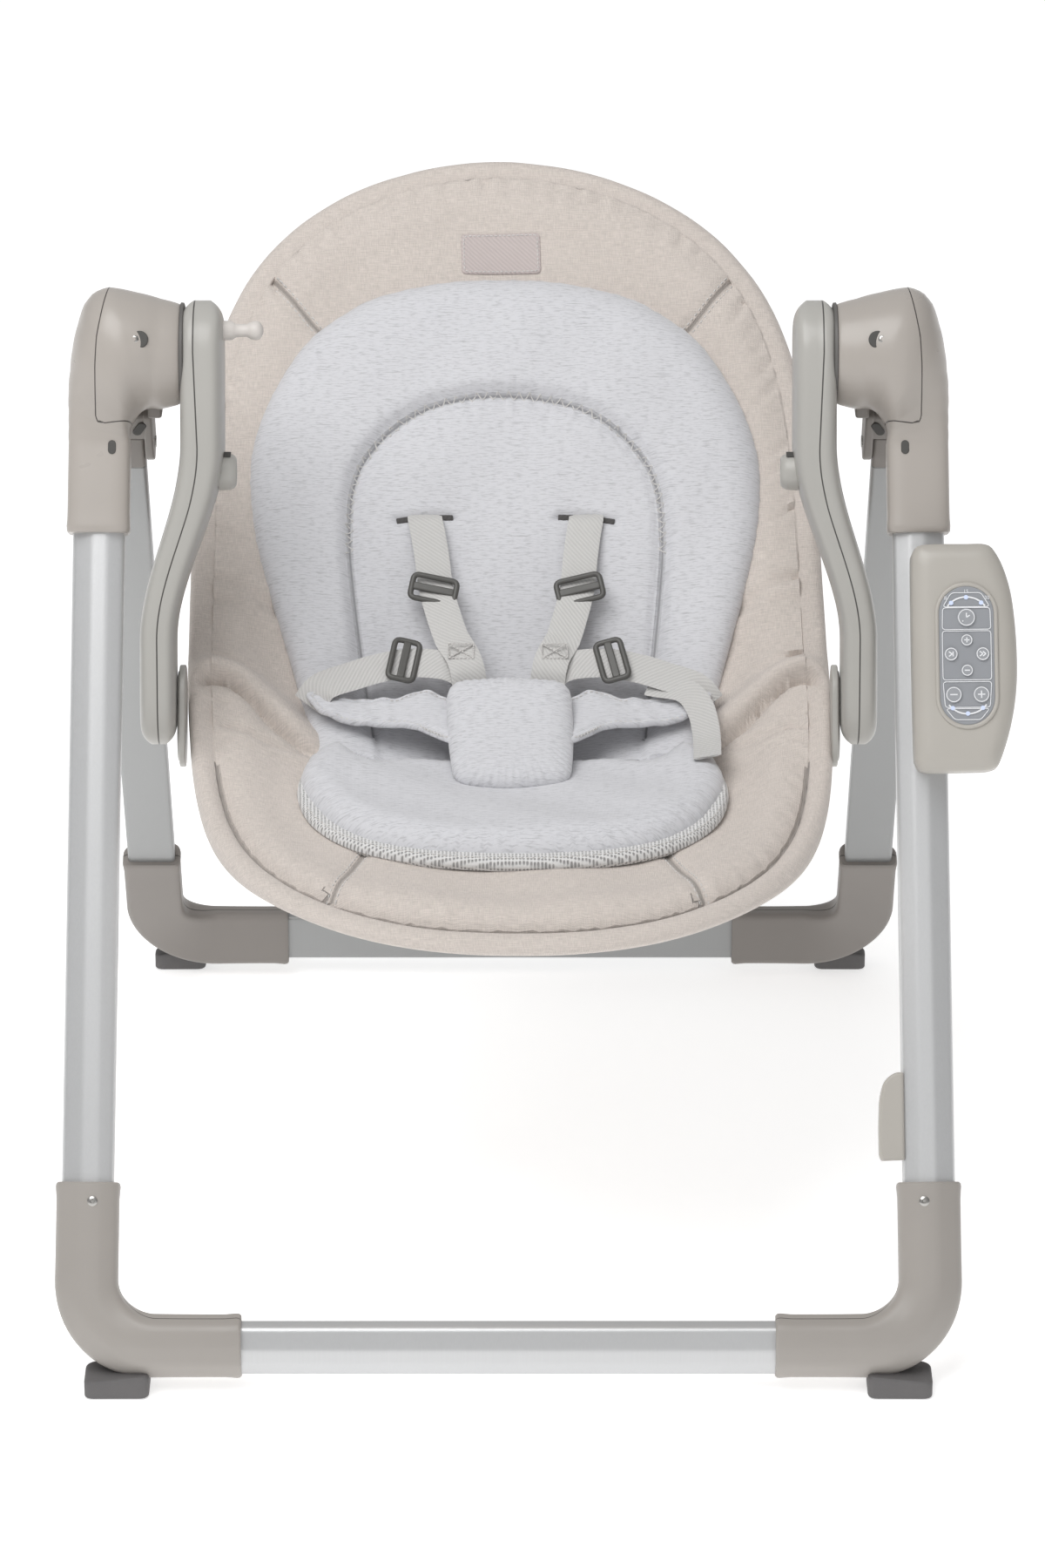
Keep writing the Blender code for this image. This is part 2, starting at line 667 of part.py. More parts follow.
def arm_skin(sign, face, inset):
    """Rows across one half of the arm, from the round end above the hub to the one at its foot."""
    top = np.array((0.0, HUB_HEIGHT))
    foot = np.array(ARM_FOOT)
    span = np.linalg.norm(foot - top)
    down = (foot - top) / span
    across = np.array((-down[1], down[0]))
    r0, r1 = ARM_TOP_RADIUS - inset, ARM_FOOT_RADIUS - inset
    first, last = -r0, span + r1
    steps = 18
    rows = []
    for k in range(steps + 1):
        share = (1 - np.cos(np.pi * k / steps)) / 2
        reach = first + (last - first) * share
        half = np.interp(reach, (0.0, span), (r0, r1))
        if reach < 0:
            half = np.sqrt(max(r0**2 - reach**2, 0.0))
        elif reach > span:
            half = np.sqrt(max(r1**2 - (reach - span) ** 2, 0.0))
        depth = np.interp(reach, (0.0, span), (ARM_TOP_HALF, ARM_FOOT_HALF)) - FIT / 2 - inset
        end = min(1.0, max(half, 0.0) / 0.0100)
        depth = depth * np.sqrt(end * (2 - end))
        row = []
        columns = 8
        for c in range(columns + 1):
            angle = np.pi * c / columns
            wide = half * np.sign(np.cos(angle)) * abs(np.cos(angle)) ** 0.45
            out = depth * abs(np.sin(angle)) ** 0.45
            y, z = top + down * reach + across * wide
            x = arm_middle_x(z) + face * (FIT / 2 + out)
            row.append((sign * x, y, z))
        rows.append(row)
    return rows


def arm_half(name, sign, face, carrier):
    """One moulded half of an arm: an outer and an inner skin, joined round the seam."""
    outer, inner = arm_skin(sign, face, 0.0), arm_skin(sign, face, ARM_WALL)
    shape = bmesh.new()
    rims = []
    for rows in (outer, inner):
        grid = []
        for k, row in enumerate(rows):
            if k in (0, len(rows) - 1):
                grid.append([shape.verts.new(row[0])] * len(row))
            else:
                grid.append([shape.verts.new(p) for p in row])
        for low, high in zip(grid, grid[1:]):
            for c in range(len(low) - 1):
                corners = []
                for v in (low[c], low[c + 1], high[c + 1], high[c]):
                    if v not in corners:
                        corners.append(v)
                shape.faces.new(corners)
        left = [row[0] for row in grid]
        right = [row[-1] for row in grid[1:-1]]
        rims.append(left + right[::-1])
    for k in range(len(rims[0])):
        n = (k + 1) % len(rims[0])
        shape.faces.new((rims[0][k], rims[0][n], rims[1][n], rims[1][k]))
    return from_bmesh(shape, name, "arm_grey", carrier)


def arm_clip(side, sign, arm):
    """A round boss with a square slot in its top, moulded with the inner half of the arm."""
    y, z = CLIP
    face = arm_middle_x(z) - ARM_TOP_HALF
    ends = ((sign * (face + 0.0020), y, z), (sign * (face - 0.0105), y, z))
    boss = rod(f"{side}_clip_boss", *ends, 0.0110, None, ROOT, 24)
    middle = (sign * (face - 0.0060), y, z + 0.0110)
    slot = block(f"{side}_clip_slot", middle, (0.0060, 0.0120, 0.0100), None, ROOT)
    boolean(arm, boss, "UNION")
    boolean(arm, slot, "DIFFERENCE")


def arms():
    for side, sign in SIDES.items():
        outer = arm_half(f"{side}_arm_outer", sign, 1.0, SWING)
        inner = arm_half(f"{side}_arm_inner", sign, -1.0, SWING)
        bore_ends = ((sign * 0.2060, 0.0, HUB_HEIGHT), (sign * 0.2250, 0.0, HUB_HEIGHT))
        bore = rod(f"{side}_arm_bore", *bore_ends, AXLE_RADIUS + 0.0004, None, ROOT, 28)
        boolean(outer, bore, "DIFFERENCE")
        arm_clip(side, sign, inner)
    peg_profile = [
        (0.0, 0.0),
        (0.0, 0.0062),
        (0.0060, 0.0062),
        (0.0080, 0.0042),
        (0.0150, 0.0042),
        (0.0180, 0.0058),
        (0.0215, 0.0063),
        (0.0240, 0.0052),
        (0.0255, 0.0028),
        (0.0260, 0.0),
    ]
    turned("toy_bar_peg", peg_profile, (-0.1876, 0.0, 0.6170), "arm_grey", SWING, 16)


# ---------------------------------------------------------------- seat


def centre_line(along):
    """(y, z, slope) of the seat's centre line at distances along it: 0 at the crease, + up the back."""
    fine = np.linspace(-SEAT_LENGTH, BACK_LENGTH, 1485)
    slope = np.radians(np.interp(fine, SLOPE_AT, SLOPE))
    step = fine[1] - fine[0]
    middle = (slope[1:] + slope[:-1]) / 2
    y = np.r_[0.0, np.cumsum(np.cos(middle)) * step]
    z = np.r_[0.0, np.cumsum(np.sin(middle)) * step]
    y += BACK_TOP[0] - y[-1]
    z += BACK_TOP[1] - z[-1]
    return np.interp(along, fine, y), np.interp(along, fine, z), np.interp(along, fine, slope)


def half_width(along):
    """Half the cover's width: a blunt curve over the front lip and a rounder one over the top."""
    front = SEAT_HALF * np.clip(1 - np.clip(-along / SEAT_LENGTH, 0, 1) ** 3, 0, 1) ** 0.424
    back = SEAT_HALF * np.clip(1 - np.clip(along / BACK_LENGTH, 0, 1) ** 5, 0, 1) ** 0.53
    return np.where(along < 0, front, back)


def bowl(along, across, lift=0.0):
    """Points of the seat's upper face: across runs from -1 to 1, and lift is a height over the face."""
    along, across, lift = np.broadcast_arrays(along, across, lift)
    y, z, slope = centre_line(along)
    rise = BOWL_RISE * np.exp(-((along / BOWL_SPAN) ** 2)) * np.abs(across) ** 2.5 + lift
    x = half_width(along) * across
    return np.stack((x, y - np.sin(slope) * rise, z + np.cos(slope) * rise), axis=-1)


def strip(start, end, half, lift, columns=11, rows=16, ease=1.8):
    """A grid over the bowl between two distances, with a half width given as a function of distance."""
    share = np.linspace(0.0, 1.0, rows)
    share = 1 - (1 - share) ** ease
    along = (start + (end - start) * share)[:, None]
    across = np.linspace(-PAD_EDGE, PAD_EDGE, columns)[None, :]
    x = half(along) * across
    return bowl(along, x / np.maximum(half_width(along), 1e-6), lift)


def reducer_back_half(along):
    return 0.1760 * np.clip(1 - np.clip((along - 0.2100) / 0.1320, 0, 1) ** 2.6, 0, 1) ** 0.5 * (
        0.745 + 0.255 * np.clip(along / 0.2000, 0, 1)
    )


def reducer_seat_half(along):
    return 0.1410 * np.clip(1 - np.clip(-(along + 0.0900) / 0.1020, 0, 1) ** 3, 0, 1) ** 0.5


def cushions():
    """Plain solids for the padded cover and for the softer liner on it."""
    edge = 0.985
    seat = strip(-0.0015, -SEAT_LENGTH * edge, half_width, 0.0)[::-1]
    shell("seat_cushion", [seat], PAD_THICK, "linen", SWING)
    back = strip(0.0015, BACK_LENGTH * edge, half_width, 0.0)
    shell("back_cushion", [back], PAD_THICK, "linen", BACKREST)
    low = strip(-0.0300, -0.1890, reducer_seat_half, LINER_GAP, columns=9, rows=10)[::-1]
    shell("liner_seat", [low], REDUCER_THICK, "jersey", SWING, 1.0)
    high = strip(0.0420, 0.3380, reducer_back_half, LINER_GAP, columns=9, rows=14)
    shell("liner_back", [high], REDUCER_THICK, "jersey", BACKREST, 1.0)


def rail(name, along_from, along_to, carrier):
    """A round rail under the edge of the cover, from one side plate round to the other."""
    drop = -(PAD_THICK + RAIL_RADIUS + 0.0012)
    count = 22
    share = 1 - (1 - np.linspace(0.0, 1.0, count)) ** 2
    along = along_from + (along_to - along_from) * share
    y, z, slope = centre_line(along)
    rise = BOWL_RISE * np.exp(-((along / BOWL_SPAN) ** 2)) * 0.88 ** 2.5 + drop
    x = half_width(along) * 0.94 - 0.0040
    x = np.maximum(x, 0.0)
    y, z = y - np.sin(slope) * rise, z + np.cos(slope) * rise
    half = [(a, b, c) for a, b, c in zip(x, y, z)]
    other = [(-a, b, c) for a, b, c in half[::-1]]
    points = half + other[1:]
    curve = bpy.data.curves.new(name, "CURVE")
    curve.dimensions = "3D"
    curve.bevel_depth = RAIL_RADIUS
    curve.bevel_resolution = 2
    curve.use_fill_caps = True
    spline = curve.splines.new("POLY")
    spline.points.add(len(points) - 1)
    for point, place in zip(spline.points, points):
        point.co = (*place, 1.0)
    return take(bpy.data.objects.new(name, curve), name, "steel", carrier)


def harness():
    """Shoulder straps joined by their buckle bar, the waist strap, the crotch pad and the buckle.

    The bar stays further from the recline axis than the buckle does, so it passes above it.
    """
    lift = REDUCER_THICK + LINER_GAP + 0.0030
    along = np.linspace(STRAP_TOP, STRAP_FOOT, 12)[:, None]
    rise = lift + np.interp(along, (STRAP_FOOT, 0.1100, STRAP_TOP), (STRAP_RISE, 0.0090, 0.0))
    grids = []
    for sign in SIDES.values():
        x = sign * np.interp(along, (STRAP_FOOT, STRAP_TOP), (0.0300, 0.0560))
        across = (x + np.linspace(-0.5, 0.5, 3)[None, :] * STRAP_WIDE) / half_width(along)
        grids.append(bowl(along, across, rise)[::-1])
    straps = shell("shoulder_straps", grids, STRAP_THICK, "webbing", BACKREST, 1.0)
    bar_place = bowl(STRAP_FOOT + 0.0020, 0.0, lift + STRAP_RISE + 0.0002)
    bar_turn = (np.radians(-45.0), 0, 0)
    bar = block("buckle_bar", bar_place, (0.0840, 0.0060, 0.0100), None, ROOT, 0.0, bar_turn)
    boolean(straps, bar, "UNION")
    share = np.linspace(-1.0, 1.0, 19)[:, None]
    x = 0.1300 * share
    along = 0.0300 - 0.0360 * np.abs(share) ** 1.5 + np.linspace(-0.0110, 0.0110, 3)[None, :]
    rise = lift + 0.0330 - 0.0200 * share**2
    waist = bowl(along, x / half_width(along), rise)
    shell("waist_strap", [waist], STRAP_THICK, "webbing", SWING, 1.0)
    pad_centre = bowl(-0.0330, 0.0, 0.0560)
    turn = (np.radians(-52.0), 0, 0)
    block("crotch_pad", pad_centre, (0.0760, 0.0120, 0.0700), "jersey", SWING, 0.0040, turn)
    buckle_place = (0.0, pad_centre[1] + 0.0420, pad_centre[2] + 0.0330)
    block("harness_buckle", buckle_place, (0.0500, 0.0120, 0.0300), "buckle_grey", SWING, 0.0020, turn)


def side_plates():
    """Plates between the arms and the cushions that carry the rails and the recline pivot."""
    lean = Matrix.Rotation(np.radians(28.0), 4, "X")
    turn = Matrix(((0, 0, 1, 0), (1, 0, 0, 0), (0, 1, 0, 0), (0, 0, 0, 1)))
    for side, sign in SIDES.items():
        x = sign * (SIDE_PLATE_X + SIDE_PLATE_THICK / 2)
        place = Matrix.Translation((x, ARM_FOOT[0] + 0.0090, ARM_FOOT[1] - 0.0150))
        outline = stadium(0.0200, 0.0340)
        matrix = place @ lean @ turn
        outline_slab(f"{side}_seat_plate", outline, SIDE_PLATE_THICK, matrix, "taupe_satin", SWING)


# ---------------------------------------------------------------- assembly


def frame():
    for side, sign in SIDES.items():
        line = leg_line(sign, False)
        leg_tube(f"{side}_front_leg", line, 0.0420, 0.6020, ROOT)
        elbow(f"{side}_front_elbow", line, FRONT_ELBOW_TOP, FRONT_SLEEVE_X, ROOT)
        hub_cover(side, sign)
        hub_drum(side, sign)
        leg_bracket(side, sign)
        rear_line = leg_line(sign, True)
        leg = as_mesh(leg_tube(f"{side}_rear_leg", rear_line, 0.0765, 0.5920, REAR))
        room = rod(f"{side}_leg_pin_room", *pin_ends(rear_line, 0.04), PIN_RADIUS + 0.0003, None, ROOT)
        boolean(leg, room, "DIFFERENCE")
        rod(f"{side}_leg_pin", *pin_ends(rear_line, 0.0245), PIN_RADIUS, "steel", ROOT)
        elbow(f"{side}_rear_elbow", rear_line, REAR_ELBOW_TOP, REAR_SLEEVE_X, REAR)
        foot_pad(side, sign, False, ROOT)
        foot_pad(side, sign, True, REAR)
    base_tube("front_base_tube", FRONT_BASE_Y, 0.2180, ROOT)
    base_tube("rear_base_tube", REAR_BASE_Y, 0.2080, REAR)
    hub_inner_parts()
    catch()


def catch():
    """The storage catch on the inner side of the right front leg: a D shape standing out of the tube."""
    line = leg_line(1.0, False)
    middle = 0.5030
    body = block("storage_catch", (0.0, 0.0, 0.0), (0.0130, 0.0150, 0.0560), "taupe_satin", ROOT, 0.0050)
    inner_face = -TUBE_WIDE / 2 - 0.0068
    body.matrix_basis = line.matrix(middle, 0.0, inner_face)


def fold_buttons():
    for side, sign in SIDES.items():
        place = (sign * 0.2341, 0.0, HUB_HEIGHT - 0.0350)
        carrier = new_empty(f"{side}_fold_travel", place, ROOT)
        block(f"{side}_fold_button", place, (0.0092, 0.0196, 0.0150), "taupe_satin", carrier, 0.0010)


def recline_lever():
    """The lever behind the back's upper part, hinged at its upper end."""
    y, z, slope = (float(value) for value in centre_line(LEVER_REACH))
    drop = -(PAD_THICK + 0.0095)
    spot = Vector((0.0, y - np.sin(slope) * drop, z + np.cos(slope) * drop))
    long = 0.0360
    up_back = Vector((0.0, np.cos(slope), np.sin(slope)))
    carrier = new_empty("recline_lever_axis", spot + up_back * (long / 2 - 0.0050), ROOT)
    size = (0.0900, 0.0100, long)
    block("recline_lever", spot, size, "taupe_satin", carrier, 0.0030, (slope - np.pi / 2, 0, 0))


clear_scene()
PARTS = new_collection("baby_swing")
CUTTERS = new_collection("cutters")
ROOT = bpy.data.objects.new("hub_frame", None)
PARTS.objects.link(ROOT)
ROOT.location = (-CENTRE_X, -CENTRE_Y, 0.0)
SWING = new_empty("swing_axis", (0.0, 0.0, HUB_HEIGHT), ROOT)
BACKREST = new_empty("recline_axis", (0.0, *ARM_FOOT), ROOT)
REAR_PIVOT = leg_line(1.0, True).at(PIVOT_REACH)
REAR = new_empty("rear_fold_axis", (0.0, REAR_PIVOT.y, REAR_PIVOT.z), ROOT)

frame()
fold_buttons()
control_box()
arms()
cushions()
side_plates()
rail("seat_rail", -0.0300, -SEAT_LENGTH * 0.93, SWING)
rail("back_rail", 0.0300, BACK_LENGTH * 0.95, BACKREST)
harness()
recline_lever()
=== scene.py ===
import logging
import math
from dataclasses import dataclass, replace
from enum import Enum
from typing import Any, Callable, Sequence

import bmesh
import bpy
import mathutils
import numpy as np
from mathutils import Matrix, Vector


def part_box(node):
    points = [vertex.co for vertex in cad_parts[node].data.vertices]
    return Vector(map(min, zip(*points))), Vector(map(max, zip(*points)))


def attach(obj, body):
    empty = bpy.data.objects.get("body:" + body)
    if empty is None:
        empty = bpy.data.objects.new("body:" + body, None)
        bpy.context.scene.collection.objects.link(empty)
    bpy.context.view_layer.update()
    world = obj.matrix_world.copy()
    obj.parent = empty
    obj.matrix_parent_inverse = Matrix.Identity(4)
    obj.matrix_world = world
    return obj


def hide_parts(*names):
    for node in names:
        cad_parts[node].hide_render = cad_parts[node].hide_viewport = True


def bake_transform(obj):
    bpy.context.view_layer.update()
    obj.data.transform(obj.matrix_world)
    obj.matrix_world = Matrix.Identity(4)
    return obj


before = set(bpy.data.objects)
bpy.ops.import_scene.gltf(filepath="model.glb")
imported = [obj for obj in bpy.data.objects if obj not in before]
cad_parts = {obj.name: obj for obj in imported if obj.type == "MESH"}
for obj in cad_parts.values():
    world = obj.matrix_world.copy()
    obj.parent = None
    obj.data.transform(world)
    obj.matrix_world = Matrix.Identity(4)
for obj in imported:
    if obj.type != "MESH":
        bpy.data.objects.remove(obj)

# Looks of the folding baby swing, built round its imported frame.
#
# Lengths are in metres. Points are worked out in the hub frame: X = 0 is the middle of the seat, Y = 0
# is the axis that the seat swings about, Z = 0 is the floor, and the seat faces -Y. HUB_SHIFT then takes
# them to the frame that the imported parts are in.

LOG = logging.getLogger("baby_swing")
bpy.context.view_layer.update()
AXLE_CORNERS = np.array([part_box(f"{side}_axle") for side in ("left", "right")]).reshape(-1, 3)
HUB = AXLE_CORNERS.mean(axis=0)
HUB_SHIFT = np.array((HUB[0], HUB[1], 0.0))
HUB_HEIGHT = float(HUB[2])

Array = np.ndarray


class Side(Enum):
    """The two sides of the swing, with the sign of their X."""

    LEFT = -1.0
    RIGHT = 1.0

    @property
    def word(self) -> str:
        """The side's name in lower case, as piece names use it."""
        return self.name.lower()


class Body(str, Enum):
    """The rigid groups that pieces ride on."""

    FRONT = "front_frame"
    REAR = "rear_frame"
    SWING = "swing"
    BACKREST = "backrest"


# ---------------------------------------------------------------- surfaces


def unit(vectors: Array) -> Array:
    """Vectors at length one; those of no length stay as they are.

    Args:
        vectors: Any array whose last axis holds the components.

    Returns:
        An array of the same shape.
    """
    length = np.linalg.norm(vectors, axis=-1, keepdims=True)
    return vectors / np.maximum(length, 1e-12)


def smooth_step(value: Array, low: float, high: float) -> Array:
    """0 below low, 1 above high, and 3 t^2 - 2 t^3 between.

    Args:
        value: The values to weigh.
        low: Where the rise starts.
        high: Where the rise ends.

    Returns:
        Weights from 0 to 1.
    """
    t = np.clip((np.asarray(value) - low) / (high - low), 0.0, 1.0)
    return t * t * (3.0 - 2.0 * t)


def flowing(knots: Sequence[tuple[float, ...]], count: int, closed: bool = False) -> Array:
    """A smooth curve through points, a Catmull-Rom spline spaced evenly along its length.

    Args:
        knots: The points that the curve passes through.
        count: How many points the result has.
        closed: True if the curve joins up with its start.

    Returns:
        Points, count by the knots' dimension. A closed curve's last point isn't its first again.
    """
    points = np.asarray(knots, float)
    if closed:
        points = np.concatenate((points[-1:], points, points[:2]))
    else:
        points = np.concatenate((2 * points[:1] - points[1:2], points, 2 * points[-1:] - points[-2:-1]))
    a, b, c, d = (points[k : len(points) - 3 + k, None] for k in range(4))
    t = np.linspace(0.0, 1.0, 25)[None, :-1, None]
    curve = 0.5 * (2 * b + (c - a) * t + (2 * a - 5 * b + 4 * c - d) * t**2 + (3 * b - a - 3 * c + d) * t**3)
    curve = np.concatenate((curve.reshape(-1, points.shape[1]), points[-2][None]))
    return even(curve, count, closed)


def even(curve: Array, count: int, closed: bool = False) -> Array:
    """Points spaced evenly along a polyline's length.

    Args:
        curve: The polyline, which ends where it starts if it is closed.
        count: How many points the result has.
        closed: True if the end point is left out of the result.

    Returns:
        The points, count by the curve's dimension.
    """
    walked = np.r_[0.0, np.cumsum(np.linalg.norm(np.diff(curve, axis=0), axis=1))]
    at = np.linspace(0.0, walked[-1], count + 1)[:-1] if closed else np.linspace(0.0, walked[-1], count)
    return np.stack([np.interp(at, walked, column) for column in curve.T], axis=-1)


def rounded(corners: Sequence[tuple[float, float]], radius: float | Sequence[float], steps: int = 5) -> Array:
    """A polygon whose corners are replaced by parabolas that start the radius away from each corner.

    Args:
        corners: The polygon's corners in order.
        radius: The distance cut from each edge, one for all or one for each corner.
        steps: How many edges each rounding has.

    Returns:
        The closed outline's points, n by 2.
    """
    here = np.asarray(corners, float)
    cut = np.broadcast_to(np.asarray(radius, float), len(here))[:, None]
    before = here + unit(np.roll(here, 1, axis=0) - here) * cut
    after = here + unit(np.roll(here, -1, axis=0) - here) * cut
    t = np.linspace(0.0, 1.0, steps + 1)[None, :, None]
    curve = (1 - t) ** 2 * before[:, None] + 2 * t * (1 - t) * here[:, None] + t**2 * after[:, None]
    return curve.reshape(-1, 2)


def stadium(half_wide: float, half_long: float, steps: int = 16) -> Array:
    """An upright stadium about its centre: two half circles joined by straight sides.

    Args:
        half_wide: Half the width, which is the radius of the ends.
        half_long: Half the length.
        steps: How many edges each half circle has.

    Returns:
        The closed outline's points, anticlockwise.
    """
    angle = np.linspace(0.0, np.pi, steps + 1)
    arc = half_wide * np.stack((np.cos(angle), np.sin(angle)), axis=-1)
    shift = np.array((0.0, half_long - half_wide))
    return np.concatenate((arc + shift, -arc - shift))


def blunt_ring(half_wide: Array, half_deep: Array, power: Array, count: int) -> Array:
    """Superellipses: |x / a|^p + |y / b|^p = 1, where p = 2 is an ellipse and more is squarer.

    Args:
        half_wide: The half width a of each ring.
        half_deep: The half depth b of each ring.
        power: The power p of each ring.
        count: Points in each ring.

    Returns:
        Rings, one for each width, count by 2.
    """
    angle = np.linspace(0.0, 2 * np.pi, count, endpoint=False)
    cos, sin = np.cos(angle), np.sin(angle)
    wide, deep, power = (np.asarray(v, float).reshape(-1, 1) for v in (half_wide, half_deep, power))
    x = wide * np.sign(cos) * np.abs(cos) ** (2.0 / power)
    y = deep * np.sign(sin) * np.abs(sin) ** (2.0 / power)
    return np.stack(np.broadcast_arrays(x, y), axis=-1)


@dataclass
class Patch:
    """A grid of points that becomes faces.

    Attributes:
        points: Rows by columns by 3.
        wrap_rows: True if the last row joins the first.
        wrap_columns: True if the last column joins the first.
        cloth: Where each point lies on flat fabric, rows by columns by 2, or None.
        seam: Each point's signed distance to a part line or a seam, rows by columns, or None.
    """

    points: Array
    wrap_rows: bool = False
    wrap_columns: bool = True
    cloth: Array | None = None
    seam: Array | None = None

    def faces(self, start: int) -> Array:
        """The grid's quads, as vertex numbers counted from start.

        Args:
            start: The first vertex's number.

        Returns:
            Four vertex numbers for each quad.
        """
        rows, columns = self.points.shape[:2]
        r = np.arange(rows if self.wrap_rows else rows - 1)[:, None]
        c = np.arange(columns if self.wrap_columns else columns - 1)[None, :]
        below, right = (r + 1) % rows, (c + 1) % columns
        corners = (r * columns + c, r * columns + right, below * columns + right, below * columns + c)
        return np.stack(np.broadcast_arrays(*corners), axis=-1).reshape(-1, 4) + start

    def moved(self, turn: Array, place: Array) -> "Patch":
        """The same grid with its axes turned to the rows of turn and its origin at place."""
        return replace(self, points=self.points @ turn + place)

    def mirrored(self, side: Side) -> "Patch":
        """The same grid on the given side of X = 0, if it was made for the right one."""
        return replace(self, points=self.points * (side.value, 1.0, 1.0))


def capped(rings: Array, edge: float = 0.0006) -> Array:
    """Rings of a tube with both ends closed by a flat face with a small bevel.

    The end ring moves in along the tube by the bevel, a smaller ring takes its place, and two more
    shrink it to the middle of the end.

    Args:
        rings: Rows of points round the tube.
        edge: The width of the bevel.

    Returns:
        The rings with four more at each end.
    """

    def end(first: Array, second: Array) -> list[Array]:
        """Closes one end, from its middle outwards to a rounded edge.

        Args:
            first: The ring at the end.
            second: The ring next to it.

        Returns:
            The rings that close that end, middle first.
        """
        middle = first.mean(axis=0)
        inward = unit(second.mean(axis=0) - middle)
        reach = np.linalg.norm(first - middle, axis=1, keepdims=True)
        small = middle + (first - middle) * np.clip(1 - edge / np.maximum(reach, 1e-9), 0, 1)
        half = middle + (first - middle) * 0.5
        return [np.broadcast_to(middle, first.shape), half, small, first + inward * edge]

    head, tail = end(rings[0], rings[1]), end(rings[-1], rings[-2])
    return np.stack([*head, *rings[1:-1], *tail[::-1]])


def swept(sections: Array, centres: Array, across: Array, forward: Array, edge: float = 0.0006) -> Patch:
    """A closed bar: each flat section is laid out at its centre along two directions.

    Args:
        sections: One outline, m by 2, or one for each centre, n by m by 2.
        centres: The path, n by 3.
        across: The direction of each section's first number, 3 or n by 3.
        forward: The direction of its second number, 3 or n by 3.
        edge: The bevel round the ends.

    Returns:
        The bar's patch.
    """
    sections = np.broadcast_to(sections, (len(centres), *np.asarray(sections).shape[-2:]))
    across = np.broadcast_to(across, (len(centres), 3))[:, None]
    forward = np.broadcast_to(forward, (len(centres), 3))[:, None]
    rings = centres[:, None] + sections[..., :1] * across + sections[..., 1:] * forward
    return Patch(capped(rings, edge))


def slab(
    outline: Array,
    low: float,
    high: float,
    edge_low: tuple[float, float, float] = (0.0006, 0.0006, 0.0006),
    edge_high: tuple[float, float, float] = (0.0006, 0.0006, 0.0006),
    crown: float = 0.0,
    steps: int = 6,
) -> Patch:
    """A thick plate whose rounded edges are quarter ellipses, and whose upper face may be crowned.

    Rings of the outline are scaled about its middle: by 1 - inset / half size, where the inset along a
    rounded edge is its width times 1 - sin and its drop is its depth times 1 - cos of the angle.

    Args:
        outline: The plate's outline, m by 2.
        low: Height of the lower face.
        high: Height of the upper face.
        edge_low: The lower rounding's width along each axis of the outline, and its depth.
        edge_high: The same for the upper rounding.
        crown: How far the upper face rises at its middle.
        steps: How many edges each rounding has.

    Returns:
        A patch in the outline's own plane, with height as its third number.
    """
    middle = (outline.min(axis=0) + outline.max(axis=0)) / 2
    half = (outline.max(axis=0) - outline.min(axis=0)) / 2
    angle = np.linspace(0.0, np.pi / 2, steps + 1)
    rings = []
    for share in (0.0, 0.5):
        rings.append((np.full(2, share) * (1 - np.array(edge_low[:2]) / half), low))
    for a in angle:
        inset = np.array(edge_low[:2]) * (1 - np.sin(a))
        rings.append((1 - inset / half, low + edge_low[2] * (1 - np.cos(a))))
    for a in angle[::-1]:
        inset = np.array(edge_high[:2]) * (1 - np.sin(a))
        rings.append((1 - inset / half, high - edge_high[2] * (1 - np.cos(a))))
    top = 1 - np.array(edge_high[:2]) / half
    for share in (0.85, 0.65, 0.4, 0.2, 0.0):
        rings.append((top * share, high + crown * (1 - share**2)))
    scale = np.array([ring[0] for ring in rings])[:, None]
    height = np.array([ring[1] for ring in rings])[:, None, None]
    flat = middle + (outline - middle)[None] * scale
    return Patch(np.concatenate((flat, np.broadcast_to(height, (*flat.shape[:2], 1))), axis=-1))


def loop_bar(path: Array, radius: float, normal: Array | None = None, squash: float = 1.0) -> Patch:
    """A bar of round or oval section that follows a closed path and joins up with itself.

    Args:
        path: The closed path, n by 3.
        radius: Half the bar's width.
        normal: The direction that is square to the path's plane, worked out if it is None.
        squash: The share of the radius that is kept along the normal.

    Returns:
        The bar's patch, closed both ways.
    """
    ahead = unit(np.roll(path, -1, axis=0) - np.roll(path, 1, axis=0))
    if normal is None:
        middle = path - path.mean(axis=0)
        normal = unit(np.cross(middle, np.roll(middle, -1, axis=0)).sum(axis=0))
    out = unit(np.cross(ahead, normal))
    angle = np.linspace(0.0, 2 * np.pi, 12, endpoint=False)
    ring = out[:, None] * np.cos(angle)[:, None] + normal * squash * np.sin(angle)[:, None]
    return Patch(path[:, None] + radius * ring, wrap_rows=True)


def turned(profile: Sequence[tuple[float, float]], start: Array, along: Array, count: int = 40) -> Patch:
    """A profile of (distance, radius) points turned about an axis.

    Args:
        profile: The profile from one end on the axis to the other.
        start: The point on the axis that distances count from.
        along: The axis's direction.
        count: Points round the axis.

    Returns:
        The turned patch.
    """
    along = unit(np.asarray(along, float))
    helper = np.array((0.0, 0.0, 1.0)) if abs(along[2]) < 0.9 else np.array((1.0, 0.0, 0.0))
    first = unit(np.cross(along, helper))
    second = np.cross(along, first)
    angle = np.linspace(0.0, 2 * np.pi, count, endpoint=False)
    round_it = np.cos(angle)[:, None] * first + np.sin(angle)[:, None] * second
    shape = np.asarray(profile, float)
    return Patch(np.asarray(start) + shape[:, None, :1] * along + shape[:, None, 1:] * round_it[None])


